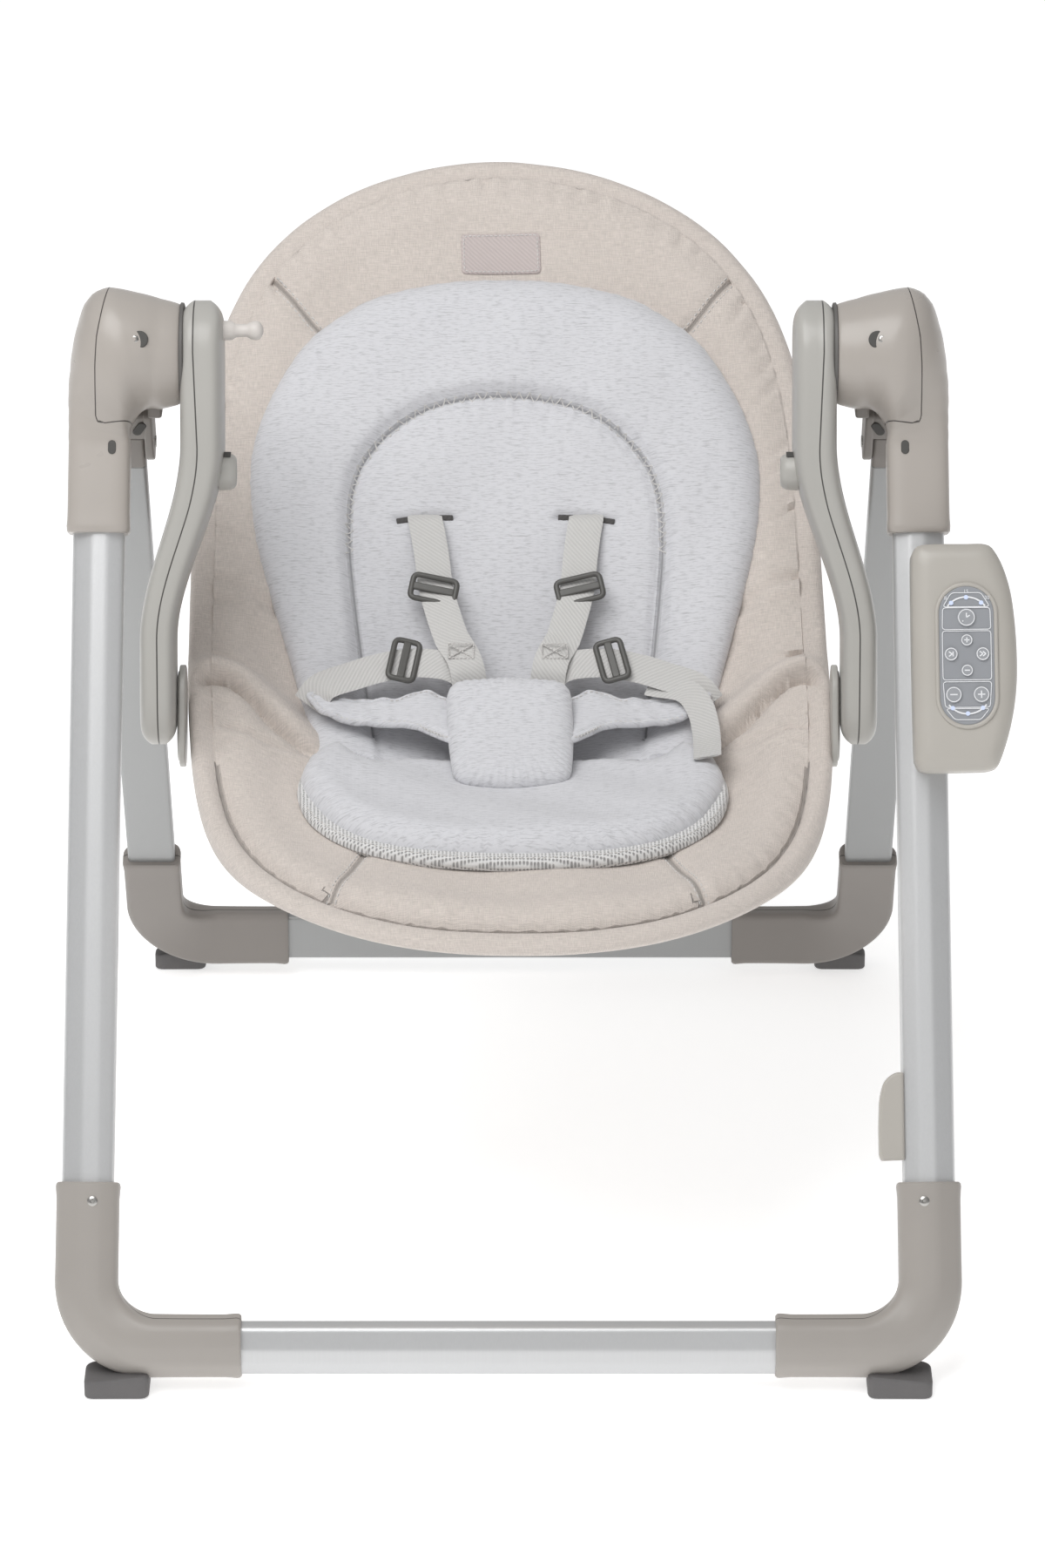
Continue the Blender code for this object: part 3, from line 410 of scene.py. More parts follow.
def web(
    centres: Array, across: Array, up: Array, width: float, thick: float, columns: int = 9
) -> Patch:
    """A flat strap along a path: a rounded flat section whose cloth runs across and along it.

    Args:
        centres: The path of the strap's middle, n by 3.
        across: The direction of its width at each point, n by 3.
        up: The direction that its face looks, n by 3.
        width: The strap's width.
        thick: The strap's thickness.
        columns: Points across each face.

    Returns:
        A closed patch, with cloth distances across and along.
    """
    half = np.linspace(-1.0, 1.0, columns)
    x = np.r_[half, half[::-1]] * width / 2
    sag = thick / 2 * np.sqrt(np.clip(1.02 - np.abs(half) ** 6, 0, 1))
    z = np.r_[sag, -sag[::-1]]
    rings = centres[:, None] + across[:, None] * x[:, None] + up[:, None] * z[:, None]
    walked = np.r_[0.0, np.cumsum(np.linalg.norm(np.diff(centres, axis=0), axis=1))]
    walked = np.r_[[walked[0]] * 4, walked[1:-1], [walked[-1]] * 4]
    cloth = np.stack(np.broadcast_arrays(x[None], walked[:, None]), axis=-1)
    return Patch(capped(rings, thick * 0.3), cloth=cloth)


# ---------------------------------------------------------------- pieces


def make_mesh(name: str, patches: Sequence[Patch], sharp: float) -> bpy.types.Mesh:
    """One mesh from patches, with doubled points merged and every face pointing out.

    Args:
        name: The mesh's name.
        patches: The grids, each a closed surface once its doubles are merged.
        sharp: Edges sharper than this many degrees are drawn sharp.

    Returns:
        The mesh, shaded smooth, with the cloth attribute where the patches have one.
    """
    points = np.concatenate([patch.points.reshape(-1, 3) for patch in patches]) + HUB_SHIFT
    starts = np.cumsum([0] + [patch.points[..., 0].size for patch in patches[:-1]])
    faces = np.concatenate([patch.faces(start) for patch, start in zip(patches, starts)])
    mesh = bpy.data.meshes.new(name)
    mesh.from_pydata(points.tolist(), [], faces.tolist())
    if patches[0].cloth is not None:
        cloth = np.concatenate([patch.cloth.reshape(-1, 2) for patch in patches])
        cloth = np.concatenate((cloth, np.zeros((len(cloth), 1))), axis=1).astype(np.float32)
        mesh.attributes.new("cloth", "FLOAT_VECTOR", "POINT").data.foreach_set("vector", cloth.ravel())
    seams = [np.ones(patch.points.shape[:2]) if patch.seam is None else patch.seam for patch in patches]
    seam = 1.0 + np.concatenate([values.ravel() for values in seams]).astype(np.float32)
    mesh.attributes.new("seam", "FLOAT", "POINT").data.foreach_set("value", seam)
    shape = bmesh.new()
    shape.from_mesh(mesh)
    bmesh.ops.remove_doubles(shape, verts=shape.verts, dist=2e-6)
    bmesh.ops.dissolve_degenerate(shape, edges=shape.edges, dist=1e-7)
    bmesh.ops.recalc_face_normals(shape, faces=shape.faces)
    shape.to_mesh(mesh)
    shape.free()
    mesh.shade_smooth()
    mesh.set_sharp_from_angle(angle=math.radians(sharp))
    return mesh


def add_piece(
    name: str,
    patches: Sequence[Patch] | Patch,
    finish: "Finish",
    body: Body | None,
    replaces: Sequence[str] = (),
    sharp: float = 38.0,
) -> bpy.types.Object:
    """Makes an object from patches, gives it its finish and lets it ride on a body.

    Args:
        name: The piece's name.
        patches: One patch or several.
        finish: What it is made of.
        body: The body that it moves with, or None if the caller blends it.
        replaces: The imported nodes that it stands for.
        sharp: Edges sharper than this many degrees are drawn sharp.

    Returns:
        The object, at the origin.
    """
    patches = [patches] if isinstance(patches, Patch) else list(patches)
    obj = bpy.data.objects.new(name, make_mesh(name, patches, sharp))
    bpy.context.scene.collection.objects.link(obj)
    obj.data.materials.append(finish.material())
    return enlist(obj, body, replaces)


def enlist(obj: bpy.types.Object, body: Body | None, replaces: Sequence[str]) -> bpy.types.Object:
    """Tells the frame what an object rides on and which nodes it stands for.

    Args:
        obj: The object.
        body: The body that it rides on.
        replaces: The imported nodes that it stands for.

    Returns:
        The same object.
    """
    if body is not None:
        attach(obj, body.value)
    if replaces:
        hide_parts(*replaces)
    LOG.info("%s: %d faces", obj.name, len(obj.data.polygons))
    return obj


# ---------------------------------------------------------------- finishes


class Shade:
    """A material's node tree, built call by call."""

    def __init__(self, name: str) -> None:
        """Starts a material with one shader."""
        self.material = bpy.data.materials.new(name)
        self.material.use_nodes = True
        self.tree = self.material.node_tree
        self.shader = self.tree.nodes["Principled BSDF"]
        self.normal: Any = None

    def node(self, kind: str, inputs: dict[Any, Any], output: Any = 0, **settings: Any) -> Any:
        """Adds a node.

        Args:
            kind: The node's type, without its ShaderNode.
            inputs: Values or sockets for its inputs, by name or number.
            output: Which output is wanted.
            settings: The node's own settings.

        Returns:
            The wanted output socket.
        """
        node = self.tree.nodes.new(f"ShaderNode{kind}")
        for key, value in settings.items():
            setattr(node, key, value)
        for key, value in inputs.items():
            self.feed(node.inputs[key], value)
        return node.outputs[output]

    def feed(self, socket: Any, value: Any) -> None:
        """Links a socket, or sets its own value."""
        if isinstance(value, bpy.types.NodeSocket):
            self.tree.links.new(value, socket)
        else:
            socket.default_value = value

    def place(self, scale: tuple[float, float, float] = (1, 1, 1), cloth: bool = False) -> Any:
        """Coordinates of the object, or of its flat fabric, stretched by a scale."""
        if cloth:
            source = self.node("Attribute", {}, "Vector", attribute_name="cloth")
        else:
            source = self.node("TexCoord", {}, "Object")
        return self.node("Mapping", {"Vector": source, "Scale": scale})

    def noise(self, vector: Any, scale: float, detail: float = 2.0, rough: float = 0.5) -> Any:
        """Fractal noise from 0 to 1."""
        inputs = {"Vector": vector, "Scale": scale, "Detail": detail, "Roughness": rough}
        return self.node("TexNoise", inputs, 0)

    def wave(self, vector: Any, scale: float, axis: str, bend: float = 0.0) -> Any:
        """Sine bands across an axis, bent a little."""
        inputs = {"Vector": vector, "Scale": scale, "Distortion": bend, "Detail": 1.0}
        return self.node("TexWave", inputs, 1, bands_direction=axis)

    def span(self, value: Any, low: float, high: float, first: float, last: float) -> Any:
        """A value mapped from low..high to first..last, and held at the ends."""
        return self.node("MapRange", {0: value, 1: low, 2: high, 3: first, 4: last})

    def calc(self, operation: str, first: Any, second: Any = 0.0) -> Any:
        """One sum of two values."""
        return self.node("Math", {0: first, 1: second}, operation=operation)

    def mix(self, share: Any, first: Any, second: Any) -> Any:
        """A colour between two, by a share from 0 to 1."""
        return self.node("Mix", {0: share, 6: opaque(first), 7: opaque(second)}, 2, data_type="RGBA")

    def seam(self, width: float) -> Any:
        """1 on the line where the attribute "seam" is 1, and 0 beyond half the width."""
        distance = self.calc("SUBTRACT", self.node("Attribute", {}, "Fac", attribute_name="seam"), 1.0)
        return self.span(self.calc("ABSOLUTE", distance), width * 0.25, width * 0.75, 1.0, 0.0)

    def bump(self, height: Any, depth: float, strength: float = 1.0) -> None:
        """Adds relief of a depth in metres to the shader's normal."""
        inputs = {"Height": height, "Distance": depth, "Strength": strength}
        if self.normal is not None:
            inputs["Normal"] = self.normal
        self.normal = self.node("Bump", inputs)
        self.feed(self.shader.inputs["Normal"], self.normal)

    def set(self, **inputs: Any) -> None:
        """Sets shader sockets; an underscore stands for a space."""
        for key, value in inputs.items():
            self.feed(self.shader.inputs[key.replace("_", " ")], value)


def opaque(colour: Any) -> Any:
    """A colour with its alpha, or the socket as it is."""
    return (*colour, 1.0) if isinstance(colour, tuple) and len(colour) == 3 else colour


def scaled(colour: tuple[float, float, float], share: float) -> tuple[float, float, float]:
    """A colour made darker or lighter."""
    return tuple(min(1.0, channel * share) for channel in colour)


@dataclass(frozen=True)
class Finish:
    """What a piece is made of.

    Attributes:
        name: The material's name.
        colour: Its main colour, linear.
    """

    name: str
    colour: tuple[float, float, float]

    def material(self) -> bpy.types.Material:
        """The finish's material, made once.

        Returns:
            The material.
        """
        found = bpy.data.materials.get(self.name)
        if found is None:
            shade = Shade(self.name)
            self.dress(shade)
            found = shade.material
        return found

    def dress(self, shade: Shade) -> None:
        """Builds the nodes."""
        raise NotImplementedError


@dataclass(frozen=True)
class MouldedPlastic(Finish):
    """Injection moulded plastic: a fine spark-eroded grain, cloudy gloss, paler edges and dark part lines.

    Attributes:
        gloss: The roughness.
        grain: The grain's depth in metres.
        line: The width of the part lines.
    """

    gloss: float = 0.42
    grain: float = 0.00003
    line: float = 0.0006

    def dress(self, shade: Shade) -> None:
        """Colour by slow noise, edges by pointiness, lines by the seam attribute, grain by fast noise.

        Args:
            shade: The node builder to draw with.
        """
        here = shade.place()
        cloud = shade.noise(here, 14.0, 3.0)
        colour = shade.mix(cloud, scaled(self.colour, 0.94), scaled(self.colour, 1.05))
        edge = shade.node("NewGeometry", {}, "Pointiness")
        colour = shade.mix(shade.span(edge, 0.55, 0.68, 0.0, 0.25), colour, scaled(self.colour, 1.2))
        seam = shade.seam(self.line)
        colour = shade.mix(seam, colour, scaled(self.colour, 0.16))
        shade.set(Base_Color=colour, IOR=1.48, Specular_IOR_Level=0.45)
        scuffs = shade.noise(shade.place((1.0, 1.0, 2.0)), 30.0, 3.0, 0.5)
        shade.set(Roughness=shade.span(scuffs, 0.3, 0.75, self.gloss - 0.03, self.gloss + 0.05))
        shade.bump(shade.noise(here, 2600.0, 1.0), self.grain)
        shade.bump(shade.calc("MULTIPLY", seam, -1.0), 0.0005)


@dataclass(frozen=True)
class SatinTube(Finish):
    """Anodised or satin-painted aluminium tube: faint draw lines along it and thin scratches.

    Attributes:
        metal: How much of it answers as bare metal.
    """

    metal: float = 0.55

    def dress(self, shade: Shade) -> None:
        """Draw lines are noise stretched a hundred times down the leg; scratches are its sharp peaks.

        Args:
            shade: The node builder to draw with.
        """
        lines = shade.noise(shade.place((900.0, 900.0, 9.0)), 1.0, 3.0, 0.6)
        cloud = shade.noise(shade.place(), 9.0, 2.0)
        colour = shade.mix(lines, scaled(self.colour, 0.95), scaled(self.colour, 1.05))
        colour = shade.mix(shade.span(cloud, 0.3, 0.7, 0.0, 0.25), colour, scaled(self.colour, 0.92))
        scratch = shade.noise(shade.place((240.0, 240.0, 30.0)), 1.0, 5.0, 0.7)
        worn = shade.span(scratch, 0.70, 0.76, 0.0, 0.3)
        colour = shade.mix(worn, colour, scaled(self.colour, 1.12))
        shade.set(Base_Color=colour, Metallic=self.metal, Specular_IOR_Level=0.5)
        shade.set(Roughness=shade.span(lines, 0.2, 0.8, 0.34, 0.46))
        shade.bump(lines, 0.00002)


@dataclass(frozen=True)
class TurnedSteel(Finish):
    """Plated steel: fine turning marks and a few dull spots."""

    def dress(self, shade: Shade) -> None:
        """Turning marks are stretched noise; dull spots raise the roughness."""
        marks = shade.noise(shade.place((2200.0, 60.0, 60.0)), 1.0, 2.0)
        dull = shade.noise(shade.place(), 90.0, 3.0)
        colour = shade.mix(dull, scaled(self.colour, 0.85), self.colour)
        shade.set(Base_Color=colour, Metallic=1.0, Roughness=shade.span(dull, 0.35, 0.7, 0.25, 0.42))
        shade.bump(marks, 0.00001)


@dataclass(frozen=True)
class SoftRubber(Finish):
    """Dark moulded rubber: a dull bloom and a pebbled skin."""

    def dress(self, shade: Shade) -> None:
        """Bloom by slow noise, pebbles by cells."""
        bloom = shade.noise(shade.place(), 45.0, 4.0, 0.6)
        shade.set(Base_Color=shade.mix(bloom, scaled(self.colour, 0.85), scaled(self.colour, 1.2)))
        shade.set(Roughness=shade.span(bloom, 0.3, 0.7, 0.62, 0.78))
        cells = shade.node("TexVoronoi", {"Vector": shade.place(), "Scale": 900.0})
        shade.bump(cells, 0.00012, 0.6)


@dataclass(frozen=True)
class WovenLinen(Finish):
    """Melange linen weave: crossed threads of uneven thickness, with darker and paler slubs."""

    def dress(self, shade: Shade) -> None:
        """Threads are noise stretched each way over the flat fabric, and the weave's relief is two waves.

        Args:
            shade: The node builder to draw with.
        """
        warp = shade.noise(shade.place((1500.0, 160.0, 1.0), True), 1.0, 2.0, 0.6)
        weft = shade.noise(shade.place((130.0, 1500.0, 1.0), True), 1.0, 2.0, 0.6)
        thread = shade.calc("ADD", shade.calc("MULTIPLY", warp, 0.45), shade.calc("MULTIPLY", weft, 0.55))
        pale, dark = scaled(self.colour, 1.10), scaled(self.colour, 0.80)
        colour = shade.mix(shade.span(thread, 0.36, 0.64, 0.0, 1.0), dark, pale)
        slub = shade.noise(shade.place((60.0, 700.0, 1.0), True), 1.0, 3.0, 0.7)
        colour = shade.mix(shade.span(slub, 0.60, 0.72, 0.0, 0.45), colour, scaled(self.colour, 0.68))
        cloud = shade.noise(shade.place((9.0, 9.0, 1.0), True), 1.0, 3.0)
        colour = shade.mix(shade.span(cloud, 0.3, 0.7, 0.0, 0.22), colour, scaled(self.colour, 0.92))
        colour = shade.mix(shade.seam(0.0016), colour, scaled(self.colour, 0.5))
        shade.set(Base_Color=colour, Roughness=0.88, Sheen_Weight=0.25, Sheen_Roughness=0.5)
        shade.set(Specular_IOR_Level=0.25)
        up = shade.wave(shade.place((1.0, 1.0, 1.0), True), 260.0, "X", 1.0)
        over = shade.wave(shade.place((1.0, 1.0, 1.0), True), 260.0, "Y", 1.0)
        shade.bump(shade.calc("MULTIPLY", up, over), 0.00025, 0.55)
        shade.bump(thread, 0.0005, 0.5)
        shade.bump(shade.calc("MULTIPLY", shade.seam(0.0026), -1.0), 0.0012)


@dataclass(frozen=True)
class FleckedJersey(Finish):
    """Soft knitted jersey with short darker flecks across it and a fine rib of stitches."""

    def dress(self, shade: Shade) -> None:
        """Flecks are the peaks of noise drawn out across the fabric; the knit is a fine wave.

        Args:
            shade: The node builder to draw with.
        """
        fleck = shade.noise(shade.place((170.0, 1100.0, 1.0), True), 1.0, 2.0, 0.55)
        long_fleck = shade.noise(shade.place((60.0, 900.0, 1.0), True), 1.0, 3.0, 0.6)
        colour = shade.mix(shade.span(fleck, 0.50, 0.66, 0.0, 0.55), self.colour, scaled(self.colour, 0.66))
        marks = shade.span(long_fleck, 0.58, 0.68, 0.0, 0.5)
        colour = shade.mix(marks, colour, scaled(self.colour, 0.56))
        colour = shade.mix(shade.seam(0.0016), colour, scaled(self.colour, 0.45))
        shade.set(Base_Color=colour, Roughness=0.92, Sheen_Weight=0.4, Sheen_Roughness=0.45)
        shade.set(Specular_IOR_Level=0.2)
        rib = shade.wave(shade.place((1.0, 1.0, 1.0), True), 420.0, "X", 1.5)
        shade.bump(rib, 0.0002, 0.4)
        shade.bump(fleck, 0.0004, 0.4)
        shade.bump(shade.calc("MULTIPLY", shade.seam(0.0030), -1.0), 0.0012)


@dataclass(frozen=True)
class RibbedWebbing(Finish):
    """Woven strap: ribs across it with a slight herringbone, and firmer edges."""

    def dress(self, shade: Shade) -> None:
        """Ribs are a wave along the strap, crossed by a finer one.

        Args:
            shade: The node builder to draw with.
        """
        along = shade.place((1.0, 1.0, 1.0), True)
        rib = shade.wave(along, 190.0, "DIAGONAL", 0.4)
        fine = shade.wave(along, 380.0, "X", 0.6)
        dirt = shade.noise(shade.place(), 70.0, 3.0)
        colour = shade.mix(rib, scaled(self.colour, 0.86), self.colour)
        colour = shade.mix(shade.span(dirt, 0.4, 0.8, 0.0, 0.25), colour, scaled(self.colour, 0.9))
        shade.set(Base_Color=colour, Roughness=0.72, Sheen_Weight=0.15)
        shade.bump(rib, 0.00025, 0.7)
        shade.bump(fine, 0.00015, 0.5)


@dataclass(frozen=True)
class SpacerMesh(Finish):
    """Open knitted mesh: rows of small holes in a pale fabric, painted darker as the shade inside them."""

    def dress(self, shade: Shade) -> None:
        """Holes are the middles of cells over the flat fabric, darkened as painted shade inside them.

        Args:
            shade: The node builder to draw with.
        """
        inputs = {"Vector": shade.place((1.0, 1.3, 1.0), True), "Scale": 420.0, "Randomness": 0.15}
        cells = shade.node("TexVoronoi", inputs, 0)
        hole = shade.span(cells, 0.18, 0.40, 1.0, 0.0)
        # The holes are drawn darker: painted shade inside the openings.
        shade.set(Base_Color=shade.mix(hole, self.colour, scaled(self.colour, 0.45)), Roughness=0.9)
        shade.set(Sheen_Weight=0.2)
        shade.bump(shade.calc("MULTIPLY", hole, -1.0), 0.0006)


@dataclass(frozen=True)
class SewingThread(Finish):
    """Twisted thread."""

    def dress(self, shade: Shade) -> None:
        """A fast wave twists the thread."""
        twist = shade.wave(shade.place((1.0, 1.0, 1.0)), 900.0, "DIAGONAL", 1.0)
        shade.set(Base_Color=shade.mix(twist, scaled(self.colour, 0.8), self.colour), Roughness=0.7)
        shade.set(Sheen_Weight=0.3)
        shade.bump(twist, 0.0001)


@dataclass(frozen=True)
class PrintedInk(Finish):
    """A thin printed mark, or the window of a small light, with a slightly uneven coat.

    Attributes:
        glow: How much light it gives.
    """

    glow: float = 0.0

    def dress(self, shade: Shade) -> None:
        """The coat's thickness is fine noise."""
        coat = shade.noise(shade.place(), 1800.0, 2.0)
        shade.set(Base_Color=shade.mix(coat, scaled(self.colour, 0.9), self.colour))
        shade.set(Roughness=shade.span(coat, 0.3, 0.7, 0.3, 0.5))
        if self.glow:
            shade.set(Emission_Color=opaque(self.colour), Emission_Strength=self.glow)


@dataclass(frozen=True)
class CircuitResin(Finish):
    """Green laminate with copper tracks under the resist."""

    def dress(self, shade: Shade) -> None:
        """Tracks are the borders of square cells."""
        inputs = {"Vector": shade.place(), "Scale": 160.0}
        cells = shade.node("TexVoronoi", inputs, 0, distance="MANHATTAN")
        track = shade.span(cells, 0.42, 0.47, 0.0, 1.0)
        shade.set(Base_Color=shade.mix(track, self.colour, (0.10, 0.22, 0.05)), Roughness=0.35)
        shade.bump(track, 0.00005)


@dataclass(frozen=True)
class StudioPaper(Finish):
    """Seamless paper with a trace of fibre."""

    def dress(self, shade: Shade) -> None:
        """Fibre is fine noise in the colour."""
        fibre = shade.noise(shade.place(), 30.0, 3.0)
        shade.set(Base_Color=shade.mix(fibre, scaled(self.colour, 0.99), self.colour), Roughness=0.95)
        shade.set(Specular_IOR_Level=0.1, Emission_Color=opaque(self.colour), Emission_Strength=0.60)


LEG_TUBE = SatinTube("satin_leg_tube", (0.62, 0.625, 0.63))
BASE_TUBE = SatinTube("satin_base_tube", (0.56, 0.565, 0.57))
# A darker copy of the satin tube: painted shade, for the rear frame and the seat rails, which stand in shade.
SHADED_TUBE = SatinTube("shaded_rear_tube", (0.36, 0.365, 0.365))
HUB_GLOSS = MouldedPlastic("taupe_gloss_plastic", (0.400, 0.368, 0.338), gloss=0.30, grain=0.00001)
HUB_SATIN = MouldedPlastic("taupe_satin_plastic", (0.365, 0.340, 0.315), gloss=0.40)
ELBOW_DARK = MouldedPlastic("taupe_elbow_plastic", (0.265, 0.245, 0.228), gloss=0.42)
ARM_GREY = MouldedPlastic("pale_grey_plastic", (0.415, 0.405, 0.380), gloss=0.32, grain=0.00001, line=0.0007)
BOX_GREY = MouldedPlastic("warm_grey_plastic", (0.445, 0.422, 0.385), gloss=0.36, grain=0.00001)
PANEL_GREY = MouldedPlastic("cool_grey_panel", (0.30, 0.31, 0.33), gloss=0.30, grain=0.00001)
KEY_GREY = MouldedPlastic("cool_grey_key", (0.33, 0.34, 0.36), gloss=0.32)
PEG_WARM = MouldedPlastic("cream_plastic", (0.62, 0.585, 0.555), gloss=0.38)
BUCKLE_DARK = MouldedPlastic("dark_buckle_plastic", (0.088, 0.086, 0.080), gloss=0.38)
CELL_WRAP = MouldedPlastic("cell_wrap", (0.05, 0.07, 0.16), gloss=0.3)
FOOT_RUBBER = SoftRubber("foot_rubber", (0.13, 0.125, 0.125))
SCREW_STEEL = TurnedSteel("plated_steel", (0.50, 0.49, 0.47))
LINEN = WovenLinen("melange_linen", (0.640, 0.580, 0.535))
JERSEY = FleckedJersey("flecked_jersey", (0.655, 0.655, 0.680))
WEBBING = RibbedWebbing("ribbed_webbing", (0.60, 0.59, 0.575))
MESH_EDGE = SpacerMesh("spacer_mesh", (0.74, 0.735, 0.73))
THREAD_PALE = SewingThread("pale_thread", (0.74, 0.72, 0.70))
# Dark slabs set into screw holes, wells and slots: painted shade inside the recesses.
RECESS_SHADE = MouldedPlastic("screw_recess", (0.07, 0.068, 0.064), gloss=0.6)
INK_WHITE = PrintedInk("white_ink", (0.85, 0.86, 0.88))
CIRCUIT = CircuitResin("circuit_laminate", (0.02, 0.12, 0.05))

SLOT_FINISH: dict[str, Finish] = {
    "aluminium": LEG_TUBE,
    "taupe_gloss": HUB_GLOSS,
    "taupe_satin": ELBOW_DARK,
    "arm_grey": ARM_GREY,
    "dark_rubber": FOOT_RUBBER,
    "steel": SCREW_STEEL,
    "panel_grey": PANEL_GREY,
    "key_grey": KEY_GREY,
    "linen": LINEN,
    "jersey": JERSEY,
    "webbing": WEBBING,
    "buckle_grey": BUCKLE_DARK,
    "circuit": CIRCUIT,
    "cell": CELL_WRAP,
}


def dress_packed_nodes() -> None:
    """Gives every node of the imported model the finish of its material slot."""
    for name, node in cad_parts.items():
        for place in node.material_slots:
            look = next((key for key in SLOT_FINISH if place.material and key in place.material.name), "")
            finish = SLOT_FINISH.get(look, ELBOW_DARK)
            # Rear tubes take the darker copy: painted shade.
            if name.startswith("rear_base") or name.endswith("rear_leg"):
                finish = SHADED_TUBE
            place.material = finish.material()
    LOG.info("packed nodes dressed: %d", len(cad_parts))


# ---------------------------------------------------------------- studio


@dataclass
class Studio:
    """White paper, a soft overhead light and the camera.

    Attributes:
        floor_half: Half the size of the paper.
        lens: The camera's focal length in millimetres.
        pitch: The camera's turn up from straight down, in degrees.
        camera_place: Where the camera is, in the hub frame.
    """

    floor_half: float = 20.0
    lens: float = 144.0
    pitch: float = 65.34
    camera_place: tuple[float, float, float] = (0.0092, -3.881, 2.070)

    def build(self) -> None:
        """Makes the floor, the lights and the camera."""
        self.floor()
        self.world()
        self.light("overhead_softbox", (-0.7, -0.9, 2.6), (0.0, 0.0, 0.4), 1.9, 46.0)
        self.light("front_fill", (1.2, -3.4, 1.5), (0.0, 0.0, 0.35), 2.0, 5.0)
        self.camera()
        scene = bpy.context.scene
        scene.view_settings.view_transform = "Standard"
        scene.view_settings.look = "None"

    def floor(self) -> None:
        """A sheet of paper on Z = 0: a flat grid whose far edge is out of sight."""
        span = np.linspace(-self.floor_half, self.floor_half, 9)
        x, y = np.meshgrid(span, span)
        grid = Patch(np.stack((x, y, np.full_like(x, -0.0002)), axis=-1), wrap_columns=False)
        mesh = bpy.data.meshes.new("studio_floor")
        mesh.from_pydata(grid.points.reshape(-1, 3).tolist(), [], grid.faces(0).tolist())
        floor = bpy.data.objects.new("studio_floor", mesh)
        floor.data.materials.append(StudioPaper("studio_paper", (0.93, 0.93, 0.93)).material())
        bpy.context.scene.collection.objects.link(floor)

    def world(self) -> None:
        """White surroundings that are a little darker to both sides, so that upright faces take shape."""
        world = bpy.data.worlds.new("studio_world")
        bpy.context.scene.world = world
        world.use_nodes = True
        tree = world.node_tree
        where = tree.nodes.new("ShaderNodeTexCoord").outputs["Generated"]
        parts = tree.nodes.new("ShaderNodeSeparateXYZ")
        tree.links.new(where, parts.inputs[0])
        side = tree.nodes.new("ShaderNodeMath")
        side.operation = "ABSOLUTE"
        tree.links.new(parts.outputs["X"], side.inputs[0])
        level = tree.nodes.new("ShaderNodeMapRange")
        tree.links.new(side.outputs[0], level.inputs[0])
        for socket, value in zip(list(level.inputs)[1:5], (0.20, 0.95, 0.50, 0.24)):
            socket.default_value = value
        tree.links.new(level.outputs[0], tree.nodes["Background"].inputs["Strength"])
        tree.nodes["Background"].inputs["Color"].default_value = (1.0, 1.0, 1.0, 1.0)

    def light(
        self, name: str, place: tuple[float, ...], aim: tuple[float, ...], size: float, power: float
    ) -> None:
        """A square area light.

        Args:
            name: Its name.
            place: Where it is, in the hub frame.
            aim: The point that it faces.
            size: The side of the square.
            power: Its power in watts.
        """
        data = bpy.data.lights.new(name, "AREA")
        data.size, data.energy = size, power
        lamp = bpy.data.objects.new(name, data)
        bpy.context.scene.collection.objects.link(lamp)
        start = np.array(place) + HUB_SHIFT
        lamp.location = start
        way = mathutils.Vector(np.array(aim) + HUB_SHIFT - start)
        lamp.rotation_euler = way.to_track_quat("-Z", "Y").to_euler()

    def camera(self) -> None:
        """The camera, level from side to side."""
        data = bpy.data.cameras.new("studio_camera")
        data.lens, data.sensor_width = self.lens, 36.0
        data.clip_end = 100.0
        camera = bpy.data.objects.new("studio_camera", data)
        camera.rotation_euler = (math.radians(self.pitch), 0.0, 0.0)
        camera.location = np.array(self.camera_place) + HUB_SHIFT
        bpy.context.scene.collection.objects.link(camera)
        bpy.context.scene.camera = camera


# ---------------------------------------------------------------- seat


def ripple(where: Array, waves: Sequence[tuple[float, float, float]]) -> Array:
    """A sum of sines: each wave is (turns per unit, height, phase)."""
    return sum(height * np.sin(2 * np.pi * turns * where + phase) for turns, height, phase in waves)


def line_distance(points: Array, line: Array) -> Array:
    """Signed distance from flat points to a polyline, positive on its left.

    Every point is dropped on every segment, the nearest foot wins, and the cross product with that
    segment's direction gives the sign.

    Args:
        points: Any array whose last axis is x and y.
        line: The polyline, n by 2.

    Returns:
        Distances, without the last axis.
    """
    flat = points.reshape(-1, 1, 2)
    start, step = line[None, :-1], np.diff(line, axis=0)[None]
    share = np.clip(((flat - start) * step).sum(-1) / (step**2).sum(-1), 0.0, 1.0)
    gap = flat - (start + share[..., None] * step)
    size = np.linalg.norm(gap, axis=-1)
    nearest = size.argmin(axis=1)
    row = np.arange(len(flat))
    best, way = gap[row, nearest], step[0, nearest]
    sign = np.where(way[:, 0] * best[:, 1] - way[:, 1] * best[:, 0] >= 0, 1.0, -1.0)
    return (size[row, nearest] * sign).reshape(points.shape[:-1])


def nearest_line(points: Array, lines: Sequence[Array]) -> Array:
    """The signed distance to the nearest of several polylines, or 1 where all are far."""
    every = np.stack([line_distance(points, np.asarray(line, float)) for line in lines])
    nearest = np.take_along_axis(every, np.abs(every).argmin(axis=0)[None], axis=0)[0]
    return np.where(np.abs(nearest) < 0.009, nearest, 1.0)


def mirrored_line(line: Sequence[tuple[float, float]]) -> list[tuple[float, float]]:
    """The same line on the other side of x = 0."""
    return [(-x, y) for x, y in line]


